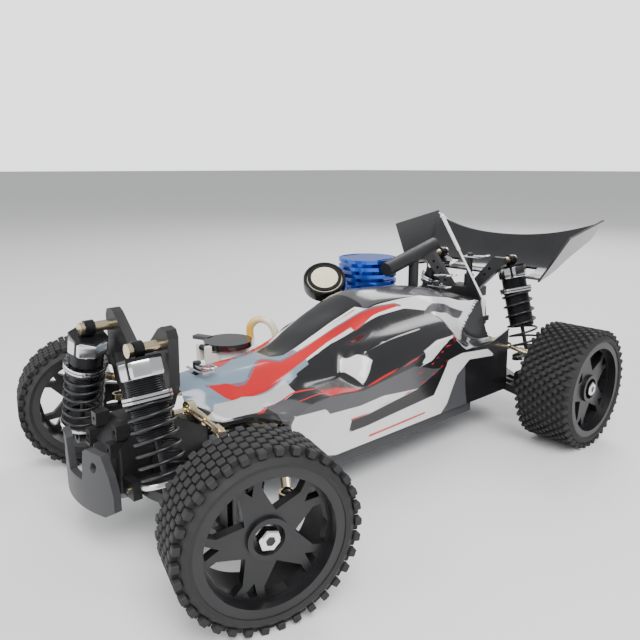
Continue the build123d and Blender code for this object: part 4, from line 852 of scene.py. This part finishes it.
def build_stage(settings):
    """A pale floor, soft lamps and the camera."""
    deselect()
    bpy.ops.mesh.primitive_plane_add(size=60, location=(0, 0, 0))
    floor = bpy.context.object
    floor.name = "studio_floor"
    paper = Finish("studio_paper", tuple(settings.floor_color), 0, 0.6)
    paper.bump(paper.noise(20.0), 0.05, 0.0005)
    floor.data.materials.append(paper.material)
    for name, place_at, size, power in (
        ("key_lamp", (0.9, -0.5, 1.3), 0.9, settings.key_power),
        ("fill_lamp", (-0.4, -1.3, 0.8), 1.2, settings.key_power * 0.45),
        ("rim_lamp", (-0.5, 1.2, 1.1), 0.9, settings.key_power * 0.5),
    ):
        bpy.ops.object.light_add(type="AREA", location=place_at)
        lamp = bpy.context.object
        lamp.name = name
        lamp.data.size = size
        lamp.data.energy = power
        lamp.rotation_euler = (Vector((0, 0, 0.05)) - Vector(place_at)).to_track_quat("-Z", "Y").to_euler()
    bpy.ops.object.camera_add(location=(0.3193, -0.3105, 0.2019))
    camera = bpy.context.object
    camera.name = "camera"
    camera.rotation_euler = Vector((-0.7263, 0.6470, -0.2324)).to_track_quat("-Z", "Y").to_euler()
    camera.data.lens = 36.09
    camera.data.sensor_width = 36.0
    camera.data.clip_start = 0.01
    bpy.context.scene.camera = camera
    world = bpy.context.scene.world or bpy.data.worlds.new("studio")
    bpy.context.scene.world = world
    world.use_nodes = True
    sky = world.node_tree.nodes["Background"]
    sky.inputs["Color"].default_value = (0.98, 0.99, 1.0, 1)
    rays = world.node_tree.nodes.new("ShaderNodeLightPath")
    seen = world.node_tree.nodes.new("ShaderNodeMapRange")
    seen.inputs["To Min"].default_value = settings.sky_strength
    seen.inputs["To Max"].default_value = 2.2
    world.node_tree.links.new(rays.outputs["Is Camera Ray"], seen.inputs["Value"])
    world.node_tree.links.new(seen.outputs["Result"], sky.inputs["Strength"])


# ---- add-on ------------------------------------------------------------------------------------------

FINISHES = {}


class BuggySettings(bpy.types.PropertyGroup):
    flash_color: bpy.props.FloatVectorProperty(
        name="Flash colour", description="Colour of the large flash on the shell",
        subtype="COLOR", size=3, default=RED)
    head_color: bpy.props.FloatVectorProperty(
        name="Head colour", description="Colour of the engine's cooling head", subtype="COLOR", size=3,
        default=(0.03, 0.12, 0.6))
    lug_height: bpy.props.FloatProperty(
        name="Lug height", description="Height of the tyre lugs",
        default=0.003, min=0.001, max=0.004, unit="LENGTH")
    spring_wire: bpy.props.FloatProperty(
        name="Spring wire", description="Thickness of the spring wire",
        default=0.0018, min=0.001, max=0.003, unit="LENGTH")
    spring_turns: bpy.props.FloatProperty(
        name="Spring turns", description="Number of turns of each spring", default=7.5, min=3, max=14)
    key_power: bpy.props.FloatProperty(
        name="Key power", description="Power of the main lamp", default=30.0, min=1, unit="POWER")
    sky_strength: bpy.props.FloatProperty(
        name="Sky strength", description="Strength of the even light from all round", default=0.6, min=0)
    floor_color: bpy.props.FloatVectorProperty(
        name="Floor colour", description="Colour of the studio floor",
        subtype="COLOR", size=3, default=(0.85, 0.85, 0.85))


class BuggyOperator(bpy.types.Operator):
    """Builds one group of pieces."""

    bl_idname = "buggy.piece"
    bl_label = "Piece"

    def execute(self, context):
        self.build(FINISHES, context.scene.buggy)
        return {"FINISHED"}

    def build(self, finishes, settings):
        pass


class BUGGY_OT_finishes(BuggyOperator):
    """Makes the finishes and gives them to the CAD nodes."""

    bl_idname = "buggy.finishes"
    bl_label = "Finishes"

    def build(self, finishes, settings):
        finishes.update(make_finishes(settings))
        finish_nodes(finishes)


class BUGGY_OT_shell(BuggyOperator):
    """Builds the painted shell."""

    bl_idname = "buggy.shell"
    bl_label = "Painted shell"

    def build(self, finishes, settings):
        build_shell(finishes)


class BUGGY_OT_wheels(BuggyOperator):
    """Builds the lugged tyres and the wheel nuts."""

    bl_idname = "buggy.wheels"
    bl_label = "Tyres and nuts"

    def build(self, finishes, settings):
        build_wheels(finishes, settings)


class BUGGY_OT_dampers(BuggyOperator):
    """Builds the damper caps, threads, collars and springs."""

    bl_idname = "buggy.dampers"
    bl_label = "Dampers"

    def build(self, finishes, settings):
        build_dampers(finishes, settings)


class BUGGY_OT_fittings(BuggyOperator):
    """Builds the clips, the filter foam and the fuel line."""

    bl_idname = "buggy.fittings"
    bl_label = "Fittings"

    def build(self, finishes, settings):
        build_fittings(finishes, settings)


class BUGGY_OT_stage(BuggyOperator):
    """Builds the floor, the lamps and the camera."""

    bl_idname = "buggy.stage"
    bl_label = "Studio"

    def build(self, finishes, settings):
        build_stage(settings)


OPERATORS = (BUGGY_OT_finishes, BUGGY_OT_shell, BUGGY_OT_wheels, BUGGY_OT_dampers, BUGGY_OT_fittings,
    BUGGY_OT_stage)


class BUGGY_PT_panel(bpy.types.Panel):
    """Buttons for the pieces and the settings that they are built from."""

    bl_label = "Off-road buggy"
    bl_idname = "BUGGY_PT_panel"
    bl_space_type = "VIEW_3D"
    bl_region_type = "UI"
    bl_category = "Buggy"

    def draw(self, context):
        for setting in BuggySettings.__annotations__:
            self.layout.prop(context.scene.buggy, setting)
        for operator in OPERATORS:
            self.layout.operator(operator.bl_idname)


CLASSES = (BuggySettings, *OPERATORS, BUGGY_PT_panel)


def register():
    for item in CLASSES:
        bpy.utils.register_class(item)
    bpy.types.Scene.buggy = bpy.props.PointerProperty(type=BuggySettings)


def unregister():
    del bpy.types.Scene.buggy
    for item in reversed(CLASSES):
        bpy.utils.unregister_class(item)


def main():
    register()
    bpy.ops.buggy.finishes()
    bpy.ops.buggy.shell()
    bpy.ops.buggy.wheels()
    bpy.ops.buggy.dampers()
    bpy.ops.buggy.fittings()
    bpy.ops.buggy.stage()


if __name__ == "__main__":
    main()
